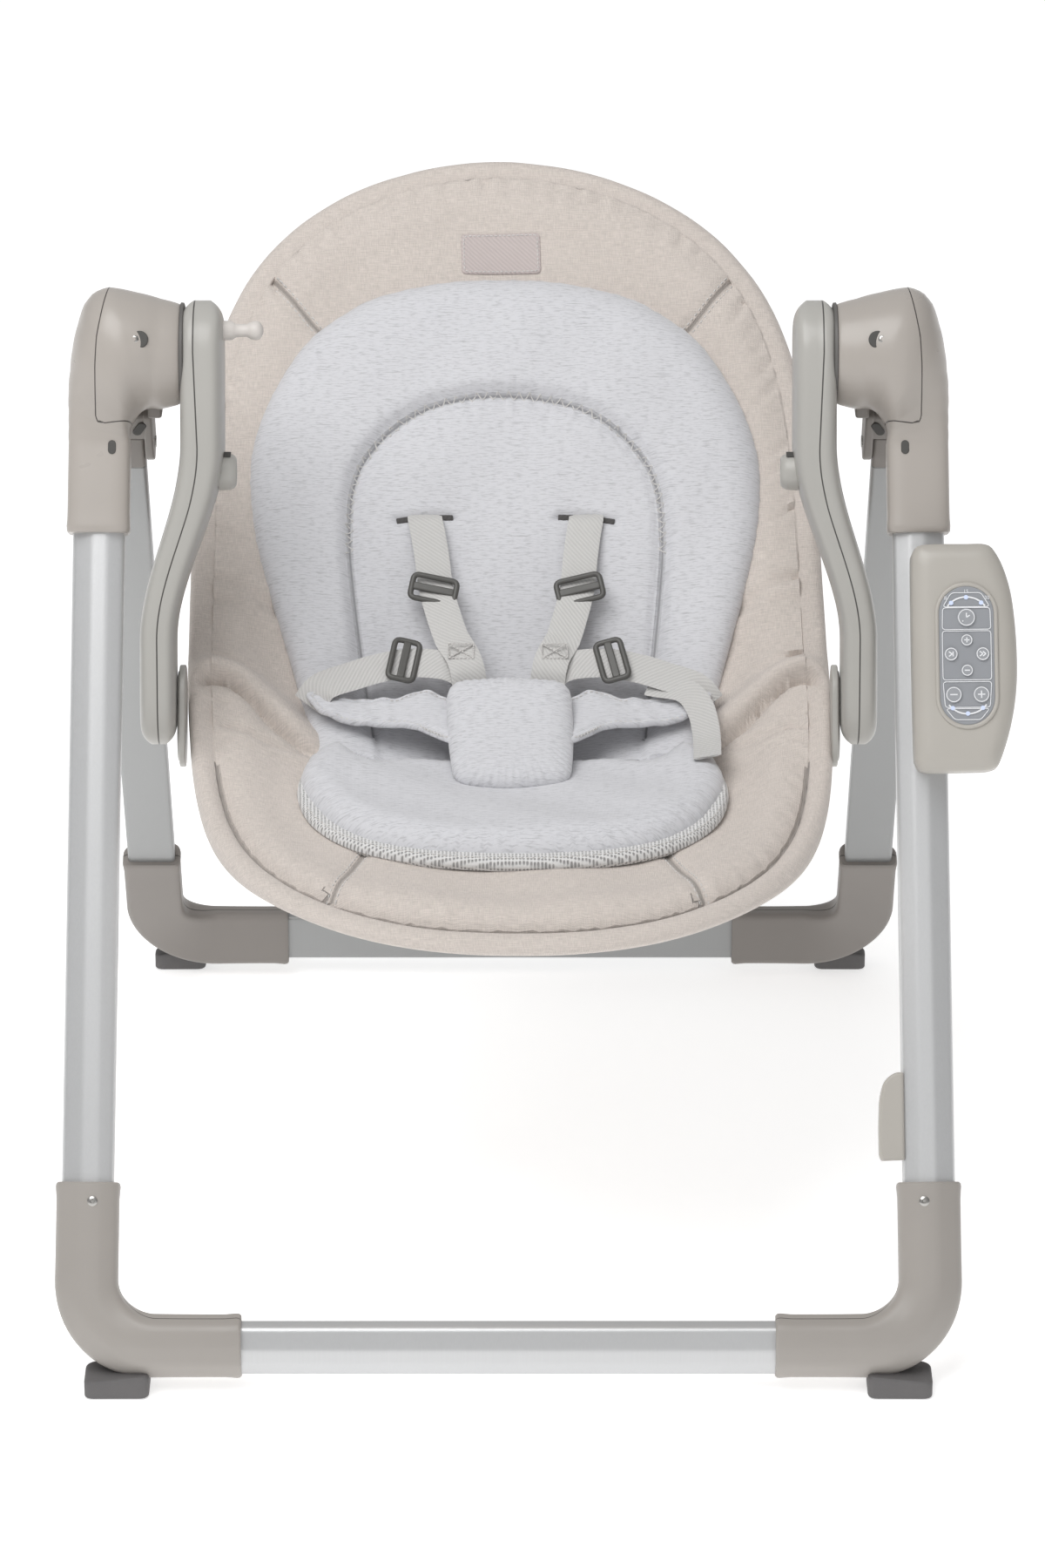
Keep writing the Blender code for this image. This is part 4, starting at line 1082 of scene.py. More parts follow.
@dataclass
class SeatShape:
    """The surface that all the fabric lies on: a line up the middle of the seat, bowed up at the hips.

    Attributes:
        length: How far the seat runs forward of the hinge line.
        back: How far the back runs up from it.
        half: Half the greatest width.
        top: The place (Y, Z) of the back's upper end.
        slope_at: Distances along the middle line where its slope is given.
        slope: The slopes there, in degrees.
        rise: How far the hips stand above the middle.
        span: How quickly that rise dies away along the seat.
        skew_at: Distances where the seat's small sideways twist is given.
        skew: The sideways moves there.
    """

    length: float = 0.297
    back: float = 0.432
    half: float = 0.215
    top: tuple[float, float] = (0.2866, 0.6383)
    slope_at: tuple[float, ...] = (-0.305, -0.22, -0.14, -0.07, 0.06, 0.437)
    slope: tuple[float, ...] = (14.0, 0.0, -4.0, -4.0, 47.5, 47.5)
    rise: float = 0.065
    span: float = 0.130
    skew_at: tuple[float, ...] = (-0.305, -0.26, 0.0, 0.33, 0.437)
    skew: tuple[float, ...] = (0.0075, 0.0065, 0.0, -0.005, -0.008)

    def __post_init__(self) -> None:
        """Walks the middle line in small steps and anchors its upper end."""
        self.walk = np.linspace(-self.length, self.back, 1485)
        turn = np.radians(np.interp(self.walk, self.slope_at, self.slope))
        step = self.walk[1] - self.walk[0]
        y, z = np.cumsum(np.cos(turn)) * step, np.cumsum(np.sin(turn)) * step
        self.line_y, self.line_z = y - y[-1] + self.top[0], z - z[-1] + self.top[1]

    def half_width(self, along: Array) -> Array:
        """Half the seat's width: (1 - (a / length)^3)^0.424 in front and (1 - (a / back)^5)^0.53 behind."""
        front = np.clip(1 - np.clip(-along / self.length, 0, 1) ** 3, 0, 1) ** 0.424
        rear = np.clip(1 - np.clip(along / self.back, 0, 1) ** 5, 0, 1) ** 0.53
        return self.half * np.where(along < 0, front, rear)

    def outline(self, count: int) -> Array:
        """The seat's closed outline, evenly spaced.

        Args:
            count: How many points.

        Returns:
            The outline's points.
        """
        along = -np.cos(np.linspace(0, np.pi, 1201))
        along = np.where(along < 0, along * self.length, along * self.back)
        right = np.stack((self.half_width(along), along), axis=-1)
        loop = np.concatenate((right, right[::-1] * (-1, 1)))
        keep = np.r_[True, np.linalg.norm(np.diff(loop, axis=0), axis=1) > 1e-9]
        loop = loop[keep]
        return even(np.concatenate((loop, loop[:1])), count, closed=True)

    def place(self, x: Array, along: Array, lift: Array) -> Array:
        """Points on the seat.

        The middle line's point at that distance is moved sideways by x, and along the line's normal by
        the hip rise, rise exp(-(a / span)^2) |x / half width|^2.5, and the lift.

        Args:
            x: Sideways distances.
            along: Distances along the middle line.
            lift: Heights above the surface.

        Returns:
            Points with a last axis of 3.
        """
        x, along, lift = np.broadcast_arrays(x, along, lift)
        share = np.abs(x) / np.maximum(self.half_width(along), 0.30 * self.half)
        height = self.rise * np.exp(-((along / self.span) ** 2)) * np.clip(share, 0, 1.1) ** 2.5 + lift
        slope = np.radians(np.interp(along, self.slope_at, self.slope))
        y = np.interp(along, self.walk, self.line_y) - np.sin(slope) * height
        z = np.interp(along, self.walk, self.line_z) + np.cos(slope) * height
        shift = np.interp(along, self.skew_at, self.skew)
        return np.stack((x + shift, y, z), axis=-1)

    def normal(self, x: Array, along: Array) -> Array:
        """The surface's outward direction, the cross product of steps across and along it."""
        step = 0.001
        across = self.place(x + step, along, 0.0) - self.place(x - step, along, 0.0)
        forward = self.place(x, along + step, 0.0) - self.place(x, along - step, 0.0)
        return unit(np.cross(across, forward))


SEAT = SeatShape()


def row_point(x: float, along: float, lift: float = 0.0) -> tuple[float, float, float]:
    return tuple(float(value) for value in SEAT.place(x, along, lift) + HUB_SHIFT)


@dataclass
class Pad:
    """A closed padded form: rings step in from an outline to its middle, on top and underneath.

    Attributes:
        outline: The closed outline on the flat seat, n by 2.
        middle: The point that the rings shrink to.
        top: Gives the upper lift from points and their distance to the outline.
        base: The same for the underside.
        seams: Lines whose signed distance goes to the shader.
        rows: Rings on the upper side.
        ease: How closely the rings crowd at the outline.
    """

    outline: Array
    middle: tuple[float, float]
    top: Callable[[Array, Array], Array]
    base: Callable[[Array, Array], Array]
    seams: Sequence[Array] = ()
    rows: int = 44
    ease: float = 1.8

    def patch(self) -> Patch:
        """The pad's grid, with the cloth's own coordinates and the distance to its seams.

        Returns:
            The grid.
        """
        share = np.linspace(0.0, 1.0, self.rows) ** self.ease
        under = np.linspace(0.0, 1.0, self.rows // 3) ** self.ease
        share = np.r_[under[:0:-1], share][:, None, None]
        flat = self.outline[None] + (np.array(self.middle) - self.outline)[None] * share
        loop = np.concatenate((self.outline, self.outline[:1]))
        inset = np.abs(line_distance(flat, loop))
        below = np.arange(len(share)) < len(under) - 1
        lift = np.where(below[:, None], self.base(flat, inset), self.top(flat, inset))
        points = SEAT.place(flat[..., 0], flat[..., 1], lift)
        seam = nearest_line(flat, self.seams) if len(self.seams) else np.full(inset.shape, 1.0)
        return Patch(points, cloth=flat, seam=np.where(below[:, None], 1.0, seam))


def dome(inset: Array, width: float) -> Array:
    """A quarter ellipse from 0 at the edge to 1 at the given width from it."""
    return np.sqrt(np.clip(1 - (1 - np.clip(inset / width, 0, 1)) ** 2, 0, 1))


def valley(distance: Array, width: float) -> Array:
    """A bell, 1 on a line and fading over the width: exp(-(d / width)^2)."""
    return np.exp(-((distance / width) ** 2))


def thread_path(line: Array, lift: Callable[[Array], Array], pitch: float, swing: float, dip: float) -> Patch:
    """A thread sewn along a line on the seat.

    The thread sways across the line by a triangle wave, or, if the swing is 0, dips under the fabric
    between its stitches.

    Args:
        line: The line on the flat seat, n by 2.
        lift: The fabric's height at flat points.
        pitch: The length of one stitch.
        swing: How far the thread sways to each side.
        dip: How far it goes under between stitches.

    Returns:
        The thread's closed tube.
    """
    length = np.linalg.norm(np.diff(line, axis=0), axis=1).sum()
    count = max(int(length / pitch * 6), 12)
    points = even(line, count)
    run = np.linspace(0.0, length / pitch, count)
    ahead = unit(np.gradient(points, axis=0))
    side = np.stack((-ahead[:, 1], ahead[:, 0]), axis=-1)
    sway = 2 * np.abs(2 * (run / 2 % 1) - 1) - 1
    points = points + side * sway[:, None] * swing
    wave = np.clip(np.sin(2 * np.pi * run) * 3, -1, 1)
    height = lift(points) + 0.0003 + dip * (wave - 1) / 2
    centres = SEAT.place(points[:, 0], points[:, 1], height)
    forward = unit(np.gradient(centres, axis=0))
    up = SEAT.normal(points[:, 0], points[:, 1])
    across = unit(np.cross(forward, up))
    angle = np.linspace(0.0, 2 * np.pi, 6, endpoint=False)
    ring = 0.00048 * np.stack((np.cos(angle), np.sin(angle)), axis=-1)
    return swept(ring, centres, across, np.cross(across, forward), edge=0.0001)


@dataclass
class SeatCover:
    """The linen seat: a padded shell with a rolled rim, a seam inside it and four panel seams.

    Attributes:
        roll: Half the rim's width.
        roll_high: Half its height.
        thick: How far the underside is below the surface.
        columns: Points round the outline.
        crease: The fold at the right hip, where the seat's bolster meets the back.
    """

    roll: float = 0.0085
    roll_high: float = 0.0110
    thick: float = 0.0215
    columns: int = 420
    crease: tuple[tuple[float, float], ...] = (
        (0.235, -0.040), (0.218, -0.022), (0.203, -0.001), (0.191, 0.002), (0.174, -0.009),
        (0.157, -0.029), (0.140, -0.041), (0.120, -0.046),
    )
    top_seam: tuple[tuple[float, float], ...] = ((0.186, 0.368), (0.167, 0.349), (0.131, 0.305), (0.09, 0.26))
    front_seam: tuple[tuple[float, float], ...] = ((0.085, -0.150), (0.097, -0.180), (0.125, -0.262))
    side_folds: tuple[tuple[tuple[float, float], ...], ...] = (
        ((0.222, 0.100), (0.198, 0.093), (0.182, 0.094)),
        ((0.200, 0.112), (0.180, 0.105), (0.156, 0.088)),
        ((0.190, -0.052), (0.161, -0.054), (0.140, -0.050)),
        ((0.212, 0.045), (0.190, 0.040), (0.172, 0.030)),
    )

    def lift(self, flat: Array, inset: Array) -> Array:
        """The upper surface inside the rim.

        It climbs out of the seam by an exponential, is crowned by a bell 34 mm inside the edge, sinks
        along the panel seams and folds, and is lifted in front of the hip creases and tucked in behind.

        Args:
            flat: Points on the flat seat.
            inset: Their distances from the edge.

        Returns:
            Lifts.
        """
        x, along = flat[..., 0], flat[..., 1]
        depth = np.maximum(inset - 2 * self.roll, 0.0)
        dip = 0.0062 * self.front_share(flat)
        lift = 0.0010 - dip + (dip + 0.0010) * (1 - np.exp(-depth / 0.0055))
        lift = lift + 0.0042 * valley(inset - 0.036, 0.016)
        fade = valley(depth, 0.014)
        run = np.arctan2(along - 0.045, x)
        lift = lift + fade * ripple(run, ((17.3, 0.0006, 0.3), (29.7, 0.0005, 1.9), (41.1, 0.0004, 4.4)))
        lift = lift + 0.0014 * ripple(x * 9 + along * 5, ((1.0, 1.0, 0.4),)) * smooth_step(inset, 0.02, 0.05)
        gather = ripple(run, ((23.0, 0.0011, 0.9), (38.3, 0.0008, 3.1), (57.7, 0.0005, 5.2)))
        lift = lift + gather * valley(inset - 0.016, 0.014) * (1 - self.front_share(flat))
        for seam in (self.top_seam, self.front_seam):
            for line in (seam, mirrored_line(seam)):
                lift = lift - 0.0030 * valley(line_distance(flat, np.array(line)), 0.0045)
        for number, fold in enumerate(self.side_folds):
            for line in (fold, mirrored_line(fold)):
                gap = line_distance(flat, np.array(line))
                lift = lift - (0.0030 - 0.0003 * number) * valley(gap, 0.0042)
                lift = lift + 0.0015 * valley(np.abs(gap) - 0.009, 0.006)
        return lift + self.hips(flat)

    def front_share(self, flat: Array) -> Array:
        """1 round the front, where the rim is piped, and 0 along the sides and the back."""
        return smooth_step(-flat[..., 1], 0.060, 0.150)

    def hips(self, flat: Array) -> Array:
        """The hip creases: a deep line, a swollen lip in front of it and a shallower one behind.

        Args:
            flat: Places on the flat fabric.

        Returns:
            The heights to add.
        """
        line = np.asarray(flowing(self.crease, 60))
        total = np.zeros(flat.shape[:-1])
        for sign in (1.0, -1.0):
            gap = line_distance(flat * (sign, 1.0), line) * -1.0
            inner = smooth_step(flat[..., 0] * sign, 0.105, 0.150)
            ahead = valley(gap - 0.016, 0.014) * (gap > -0.03)
            behind = valley(gap + 0.014, 0.010)
            total = total + inner * (0.0130 * ahead + 0.0020 * behind - 0.0110 * valley(gap, 0.0040))
        return total

    def build(self) -> bpy.types.Object:
        """Makes the cover.

        The outline steps in along its own normal round the rim, a near circle of rows, and the rows
        then shrink to the middle of the seat, on top and underneath.

        Returns:
            The cover's object.
        """
        outline = SEAT.outline(self.columns)
        ahead = unit(np.roll(outline, -1, axis=0) - np.roll(outline, 1, axis=0))
        inward = np.stack((-ahead[:, 1], ahead[:, 0]), axis=-1)
        angle = np.radians(np.linspace(-88, 150, 19))
        rim_inset = self.roll * (1 - np.cos(angle))
        rim_lift = -self.roll_high + 0.001 + self.roll_high * np.sin(angle)
        step = np.hypot(np.diff(rim_inset), np.diff(rim_lift))
        rim_run = np.r_[np.cumsum(step[::-1])[::-1], 0.0]
        run = np.linspace(0, 1, self.columns, endpoint=False)
        plump = 1 + ripple(run, ((23.0, 0.05, 0.2), (37.0, 0.04, 2.2), (61.0, 0.03, 4.0)))
        seam_inset = float(rim_inset[-1]) + 0.0004
        rim = outline[None] + inward[None] * rim_inset[:, None, None]
        rim_cloth = outline[None] + inward[None] * (seam_inset - rim_run)[:, None, None]
        ahead_share = self.front_share(outline)
        slim = 1 - 0.42 * smooth_step(-outline[:, 1], 0.14, 0.27)
        level = np.where(angle > np.pi / 2, 0.001, rim_lift)[:, None]
        rim_height = level + (rim_lift[:, None] - level) * ahead_share[None]
        rim_height = slim[None] * rim_height * np.where(rim_lift[:, None] > -0.010, plump[None], 1.0)
        start = outline + inward * seam_inset
        share = np.linspace(0.0, 1.0, 72)[:, None, None] ** 1.25
        middle = np.array((0.0, 0.045))
        inner = start[None] + (middle - start)[None] * share
        loop = np.concatenate((outline, outline[:1]))
        inset = np.abs(line_distance(inner, loop))
        inner_lift = self.lift(inner, inset)
        rim_height = rim_height + self.hips(rim) * smooth_step(rim_inset[:, None], 0.0, 0.017)
        under_share = np.linspace(1.0, 0.0, 22)[:, None, None]
        under = rim[0][None] + (middle - rim[0])[None] * under_share
        under_lift = np.broadcast_to(-self.thick * slim[None], under.shape[:-1])
        flat = np.concatenate((under, rim, inner))
        lift = np.concatenate((under_lift, rim_height, inner_lift))
        cloth = np.concatenate((under, rim_cloth, inner))
        lines = [line for seam in (self.top_seam, self.front_seam) for line in (seam, mirrored_line(seam))]
        seam = nearest_line(inner, [np.array(line) for line in lines])
        edge_seam = inset - seam_inset - 0.0002
        edge_seam = np.where((self.front_share(inner) > 0.3) & (edge_seam < 0.009), edge_seam, 1.0)
        seam = np.where(np.abs(edge_seam) < np.abs(seam), edge_seam, seam)
        rim_seam = np.where(ahead_share[None] > 0.3, np.minimum(-rim_run, -1e-5)[:, None], 1.0)
        seam = np.concatenate((np.full(under.shape[:-1], 1.0), rim_seam, seam))
        patch = Patch(SEAT.place(flat[..., 0], flat[..., 1], lift), cloth=cloth, seam=seam)
        replaced = ("seat_cushion", "back_cushion")
        cover = add_piece("linen_seat_cover", patch, LINEN, None, replaced, sharp=80.0)
        row_point(0.0, -0.030)
        row_point(0.0, 0.045)
        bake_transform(cover)
        self.stitches()
        self.label()
        return cover

    def stitches(self) -> None:
        """Top stitching beside each panel seam."""
        for seam, body in ((self.top_seam, Body.BACKREST), (self.front_seam, Body.SWING)):
            threads = []
            for line in (seam, mirrored_line(seam)):
                path = even(np.array(line), 80)
                ahead = unit(np.gradient(path, axis=0))
                side = np.stack((-ahead[:, 1], ahead[:, 0]), axis=-1)
                for shift in (0.0032, -0.0032):
                    inside = path + side * shift
                    inside = inside[SEAT.half_width(inside[:, 1]) - np.abs(inside[:, 0]) > 0.020]
                    threads.append(thread_path(inside, self.height, 0.0042, 0.0, 0.0014))
            add_piece(f"{body.value}_panel_stitches", threads, THREAD_PALE, body)

    def height(self, flat: Array) -> Array:
        """The cover's lift at any points inside the rim."""
        loop = SEAT.outline(self.columns)
        inset = np.abs(line_distance(flat, np.concatenate((loop, loop[:1]))))
        return self.lift(flat, inset)

    def label(self) -> None:
        """The blank woven label near the top edge, with its border of stitches."""
        corners = [(-0.0275, 0.3435), (0.0275, 0.3435), (0.0275, 0.3735), (-0.0275, 0.3735)]
        outline = rounded(corners, 0.003, 6)
        outline = even(np.concatenate((outline, outline[:1])), 120, closed=True)
        pad = Pad(
            outline,
            (0.0, 0.3585),
            lambda flat, inset: self.height(flat) + 0.0002 + 0.0013 * dome(inset, 0.0012),
            lambda flat, inset: self.height(flat) - 0.0005,
            rows=14,
        )
        finish = RibbedWebbing("woven_label", (0.56, 0.49, 0.475))
        add_piece("blank_label", pad.patch(), finish, Body.BACKREST)
        inner = rounded([(x * 0.93, 0.3585 + (y - 0.3585) * 0.88) for x, y in corners], 0.003, 6)
        inner = np.concatenate((inner, inner[:1]))
        thread = thread_path(inner, lambda flat: self.height(flat) + 0.0014, 0.003, 0.0, 0.001)
        add_piece("blank_label_stitches", thread, THREAD_PALE, Body.BACKREST)


@dataclass
class SeatLiner:
    """The flecked jersey insert: a back pad with a bolster round it and a seat pad with two lobes."""

    back_outline: tuple[tuple[float, float], ...] = (
        (0.0, 0.338), (0.040, 0.336), (0.084, 0.326), (0.109, 0.313), (0.136, 0.291), (0.158, 0.256),
        (0.171, 0.222), (0.1755, 0.190), (0.172, 0.145), (0.160, 0.095), (0.149, 0.055), (0.140, 0.012),
        (0.131, -0.030), (0.123, -0.064), (0.095, -0.082), (0.050, -0.088), (0.0, -0.090),
    )
    arch: tuple[tuple[float, float], ...] = (
        (-0.0915, -0.020), (-0.0945, 0.010), (-0.0985, 0.050), (-0.1035, 0.095), (-0.1065, 0.130),
        (-0.1065, 0.158), (-0.104, 0.180), (-0.096, 0.201), (-0.0765, 0.224), (-0.051, 0.240),
        (-0.023, 0.247), (0.0, 0.2485), (0.023, 0.247), (0.051, 0.240), (0.0765, 0.224),
        (0.096, 0.201), (0.104, 0.180), (0.1065, 0.158), (0.1065, 0.130), (0.1035, 0.095),
        (0.0985, 0.050), (0.0945, 0.010), (0.0915, -0.020),
    )
    seat_outline: tuple[tuple[float, float], ...] = (
        (0.0, -0.052), (0.047, -0.051), (0.070, -0.053), (0.084, -0.060), (0.093, -0.064), (0.101, -0.058),
        (0.108, -0.049), (0.118, -0.043), (0.130, -0.059), (0.1395, -0.087), (0.1420, -0.119),
        (0.1315, -0.155), (0.105, -0.185), (0.068, -0.2015), (0.028, -0.2080), (0.0, -0.2095),
    )
    slot: tuple[tuple[float, float], ...] = ((0.036, 0.1595), (0.055, 0.1590), (0.0745, 0.1555))
    border: float = 0.0075
    high: float = 0.0195

    def closed(self, half: tuple[tuple[float, float], ...], count: int) -> Array:
        """A whole outline from its right half."""
        whole = list(half) + mirrored_line(half[1:-1])[::-1]
        return flowing(whole, count, closed=True)

    def back_lift(self, flat: Array, inset: Array | None = None) -> Array:
        """The back pad's upper surface.

        A quarter ellipse climbs the bolster, the panel inside the arch is lower, a bell sinks the arch
        seam, and slow waves and a few folds soften it.

        Args:
            flat: Points on the flat seat.
            inset: Their distances from the outline, worked out if they are None.

        Returns:
            Lifts.
        """
        if inset is None:
            loop = self.closed(self.back_outline, 320)
            inset = np.abs(line_distance(flat, np.concatenate((loop, loop[:1]))))
        x, along = flat[..., 0], flat[..., 1]
        seam = -line_distance(flat, flowing(self.arch, 160))
        inside = smooth_step(seam, -0.004, 0.010)
        lift = 0.0012 + self.high * dome(inset, 0.026) - 0.0058 * inside - 0.0088 * valley(seam, 0.0052)
        lift = lift + 0.0018 * valley(seam - 0.035, 0.025)
        round_it = np.arctan2(along - 0.10, x)
        near = valley(seam, 0.016) + valley(inset, 0.010)
        lift = lift + near * ripple(round_it, ((13.1, 0.0005, 0.4), (22.7, 0.0004, 2.0), (35.9, 0.0003, 5.0)))
        lift = lift + 0.0008 * ripple(x * 11 - along * 7, ((1.0, 1.0, 1.0),)) * smooth_step(inset, 0.01, 0.04)
        slot = line_distance(np.stack((np.abs(x), along), axis=-1), np.array(self.slot))
        lift = lift - 0.0045 * valley(slot, 0.0028)
        drop = smooth_step(-along, -0.02, 0.07)
        return lift * (1 - 0.55 * drop)

    def seat_lift(self, flat: Array, inset: Array) -> Array:
        """The seat pad's upper surface: a wide dome, a little hollow in the middle, with slow waves.

        Args:
            flat: Places on the flat fabric.
            inset: Each place's distance inside the outline.

        Returns:
            The height at each place.
        """
        x, along = flat[..., 0], flat[..., 1]
        hollow = valley(np.hypot(x / 0.075, (along + 0.12) / 0.055), 1.0)
        lift = 0.007 + (self.high - 0.002) * dome(inset, 0.022) - 0.0035 * hollow
        round_it = np.arctan2(along + 0.13, x)
        lift = lift + valley(inset, 0.012) * ripple(round_it, ((11.3, 0.0007, 1.0), (19.1, 0.0006, 3.0)))
        return lift + 0.0009 * ripple(x * 9 + along * 13, ((1.0, 1.0, 2.0),)) * smooth_step(inset, 0.01, 0.03)

    def build(self) -> None:
        """Makes both pads, the mesh border, the slots and the zigzag stitching."""
        arch = flowing(self.arch, 160)
        back = Pad(
            self.closed(self.back_outline, 320),
            (0.0, 0.130),
            self.back_lift,
            lambda flat, inset: 0.0010 + 0.0 * inset,
            seams=[arch],
            rows=64,
            ease=1.35,
        )
        piece = add_piece("jersey_back_liner", back.patch(), JERSEY, None, ["liner_back"], 80.0)
        row_point(0.0, -0.030)
        row_point(0.0, 0.045)
        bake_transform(piece)
        upper = arch[(arch[:, 1] > 0.128)]
        zigzag = thread_path(upper, self.back_lift, 0.0036, 0.0028, 0.0)
        add_piece("arch_zigzag_stitches", zigzag, THREAD_PALE, Body.BACKREST)
        self.slots()
        self.seat_pad()

    def slots(self) -> None:
        """Dark strips along the openings that the shoulder straps come out of: painted shade in the slots."""
        bars = []
        for sign in (1.0, -1.0):
            line = np.array(self.slot) * (sign, 1.0)
            path = even(line, 24)
            height = self.back_lift(path) + 0.0016
            centres = SEAT.place(path[:, 0], path[:, 1], height)
            forward = unit(np.gradient(centres, axis=0))
            up = SEAT.normal(path[:, 0], path[:, 1])
            bars.append(web(centres, unit(np.cross(forward, up)), up, 0.0044, 0.0016))
        # Near-black strips over the slot grooves: painted shade inside the openings.
        finish = RibbedWebbing("slot_binding", (0.07, 0.066, 0.064))
        add_piece("strap_slot_bindings", bars, finish, Body.BACKREST)

    def seat_pad(self) -> None:
        """The seat pad with a band of open mesh round its front and sides."""
        outer = self.closed(self.seat_outline, 300)
        middle = np.array((0.0, -0.125))
        front = smooth_step(-outer[:, 1], 0.09, 0.15)[:, None]
        inner = outer + unit(middle - outer) * (0.0012 + self.border * front)
        pad = Pad(inner, tuple(middle), self.seat_lift, lambda flat, inset: 0.0030 + 0.0 * inset, rows=52)
        piece = add_piece("jersey_seat_liner", pad.patch(), JERSEY, Body.SWING, ["liner_seat"],
                          80.0)
        band = Pad(
            outer,
            tuple(middle),
            lambda flat, inset: 0.0045 + 0.0065 * dome(inset,
                                                       0.005) - 0.004 * smooth_step(inset, 0.012, 0.02),
            lambda flat, inset: 0.0016 + 0.0 * inset,
            rows=30,
        )
        piece = add_piece("mesh_seat_border", band.patch(), MESH_EDGE, Body.SWING)
        line = outer[(outer[:, 1] < -0.14)]
        line = line[np.argsort(line[:, 0])] * 0.985
        thread = thread_path(line, lambda flat: 0.0104 + 0.0 * flat[:, 0], 0.0036, 0.0, 0.0012)
        add_piece("mesh_border_stitches", thread, THREAD_PALE, Body.SWING)


@dataclass
class Harness:
    """The five-point harness: shoulder straps, waist straps, hip wings, the buckle and the crotch pad."""

    strap_wide: float = 0.0235
    strap_thick: float = 0.0016
    shoulder: tuple[tuple[float, float, float], ...] = (
        (0.0552, 0.1640, 0.0080), (0.0550, 0.1560, 0.0185), (0.0530, 0.1440, 0.0215),
        (0.0505, 0.1260, 0.0250), (0.0475, 0.0990, 0.0330), (0.0400, 0.0680, 0.0430),
        (0.0310, 0.0400, 0.0500), (0.0275, 0.0220, 0.0500), (0.0260, 0.0080, 0.0440),
    )
    waist: tuple[tuple[float, float, float], ...] = (
        (0.1350, -0.0080, 0.0180), (0.1240, 0.0060, 0.0300), (0.1050, 0.0180, 0.0360),
        (0.0880, 0.0270, 0.0400), (0.0660, 0.0330, 0.0440), (0.0420, 0.0300, 0.0460),
        (0.0260, 0.0200, 0.0430),
    )
    tail: tuple[tuple[float, float, float], ...] = (
        (0.0950, 0.0140, 0.0330), (0.1180, -0.0020, 0.0330), (0.1270, -0.0240, 0.0300),
        (0.1300, -0.0500, 0.0265), (0.1300, -0.0760, 0.0255), (0.1290, -0.0980, 0.0270),
    )
    wing: tuple[tuple[float, float], ...] = (
        (0.136, -0.004), (0.128, 0.004), (0.112, 0.000), (0.096, 0.002), (0.078, 0.000),
        (0.062, 0.007), (0.044, 0.002), (0.030, -0.020), (0.030, -0.066), (0.040, -0.072),
        (0.052, -0.058), (0.063, -0.044), (0.082, -0.036), (0.104, -0.030), (0.124, -0.022),
    )
    pad_half: float = 0.0415
    pad_top: tuple[float, float] = (0.0020, 0.0520)
    pad_foot: tuple[float, float] = (-0.1060, 0.0215)

    def build(self) -> None:
        """Makes every part of the harness."""
        self.shoulder_straps()
        self.waist_straps()
        self.wings()
        self.crotch()
        self.buckle()

    def strap(self, knots: Sequence[tuple[float, float, float]], sign: float, wide: float) -> Patch:
        """A strap through (x, along, lift) knots, with its face to the seat's normal."""
        path = flowing(knots, 90)
        centres = SEAT.place(path[:, 0] * sign, path[:, 1], path[:, 2])
        forward = unit(np.gradient(centres, axis=0))
        across = unit(np.cross(forward, SEAT.normal(path[:, 0] * sign, path[:, 1])))
        return web(centres, across, np.cross(across, forward), wide, self.strap_thick)

    def shoulder_straps(self) -> None:
        """Two straps from the slots to the buckle, with their adjusters and the boxes of stitches."""
        straps = [self.strap(self.shoulder, sign, self.strap_wide) for sign in (-1.0, 1.0)]
        piece = add_piece("shoulder_webbing", straps, WEBBING, None, ["shoulder_straps"], 60.0)
        row_point(0.0, 0.020)
        row_point(0.0, 0.090)
        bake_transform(piece)
        frames = [self.adjuster(0.0495, 0.0990, 0.0352, sign, 12.0 * sign) for sign in (-1.0, 1.0)]
        add_piece("shoulder_adjusters", sum(frames, []), BUCKLE_DARK, Body.BACKREST)
        threads = [self.cross_stitches(0.0315, 0.0430, 0.0505, sign) for sign in (-1.0, 1.0)]
        piece = add_piece("shoulder_box_stitches", sum(threads, []), THREAD_PALE, None)
        row_point(0.0, 0.020)
        row_point(0.0, 0.090)
        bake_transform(piece)

    def waist_straps(self) -> None:
        """The webbing from each hip to the buckle, its adjusters and the right strap's loose tail."""
        straps = [self.strap(self.waist, sign, self.strap_wide * 0.95) for sign in (-1.0, 1.0)]
        straps.append(self.strap(self.tail, 1.0, self.strap_wide * 0.8))
        add_piece("waist_webbing", straps, WEBBING, Body.SWING, ["waist_strap"], 60.0)
        frames = [self.adjuster(0.0700, 0.0340, 0.0462, sign, -78.0 * sign) for sign in (-1.0, 1.0)]
        add_piece("waist_adjusters", sum(frames, []), BUCKLE_DARK, Body.SWING)

    def local(self, x: float, along: float, lift: float, turn: float) -> tuple[Array, Array]:
        """Axes and origin of a small plate lying on the seat, turned in its plane by degrees.

        Args:
            x: The sideways place.
            along: The place along the seat's middle line.
            lift: The height over the seat.
            turn: The turn in degrees.

        Returns:
            The axes and the origin.
        """
        here = np.array(x), np.array(along)
        up = SEAT.normal(*here)
        forward = unit(SEAT.place(x, along + 0.002, lift) - SEAT.place(x, along - 0.002, lift))
        across = unit(np.cross(forward, up))
        forward = np.cross(up, across)
        angle = math.radians(turn)
        first = across * math.cos(angle) + forward * math.sin(angle)
        second = np.cross(up, first)
        return np.stack((first, second, up)), SEAT.place(x, along, lift)

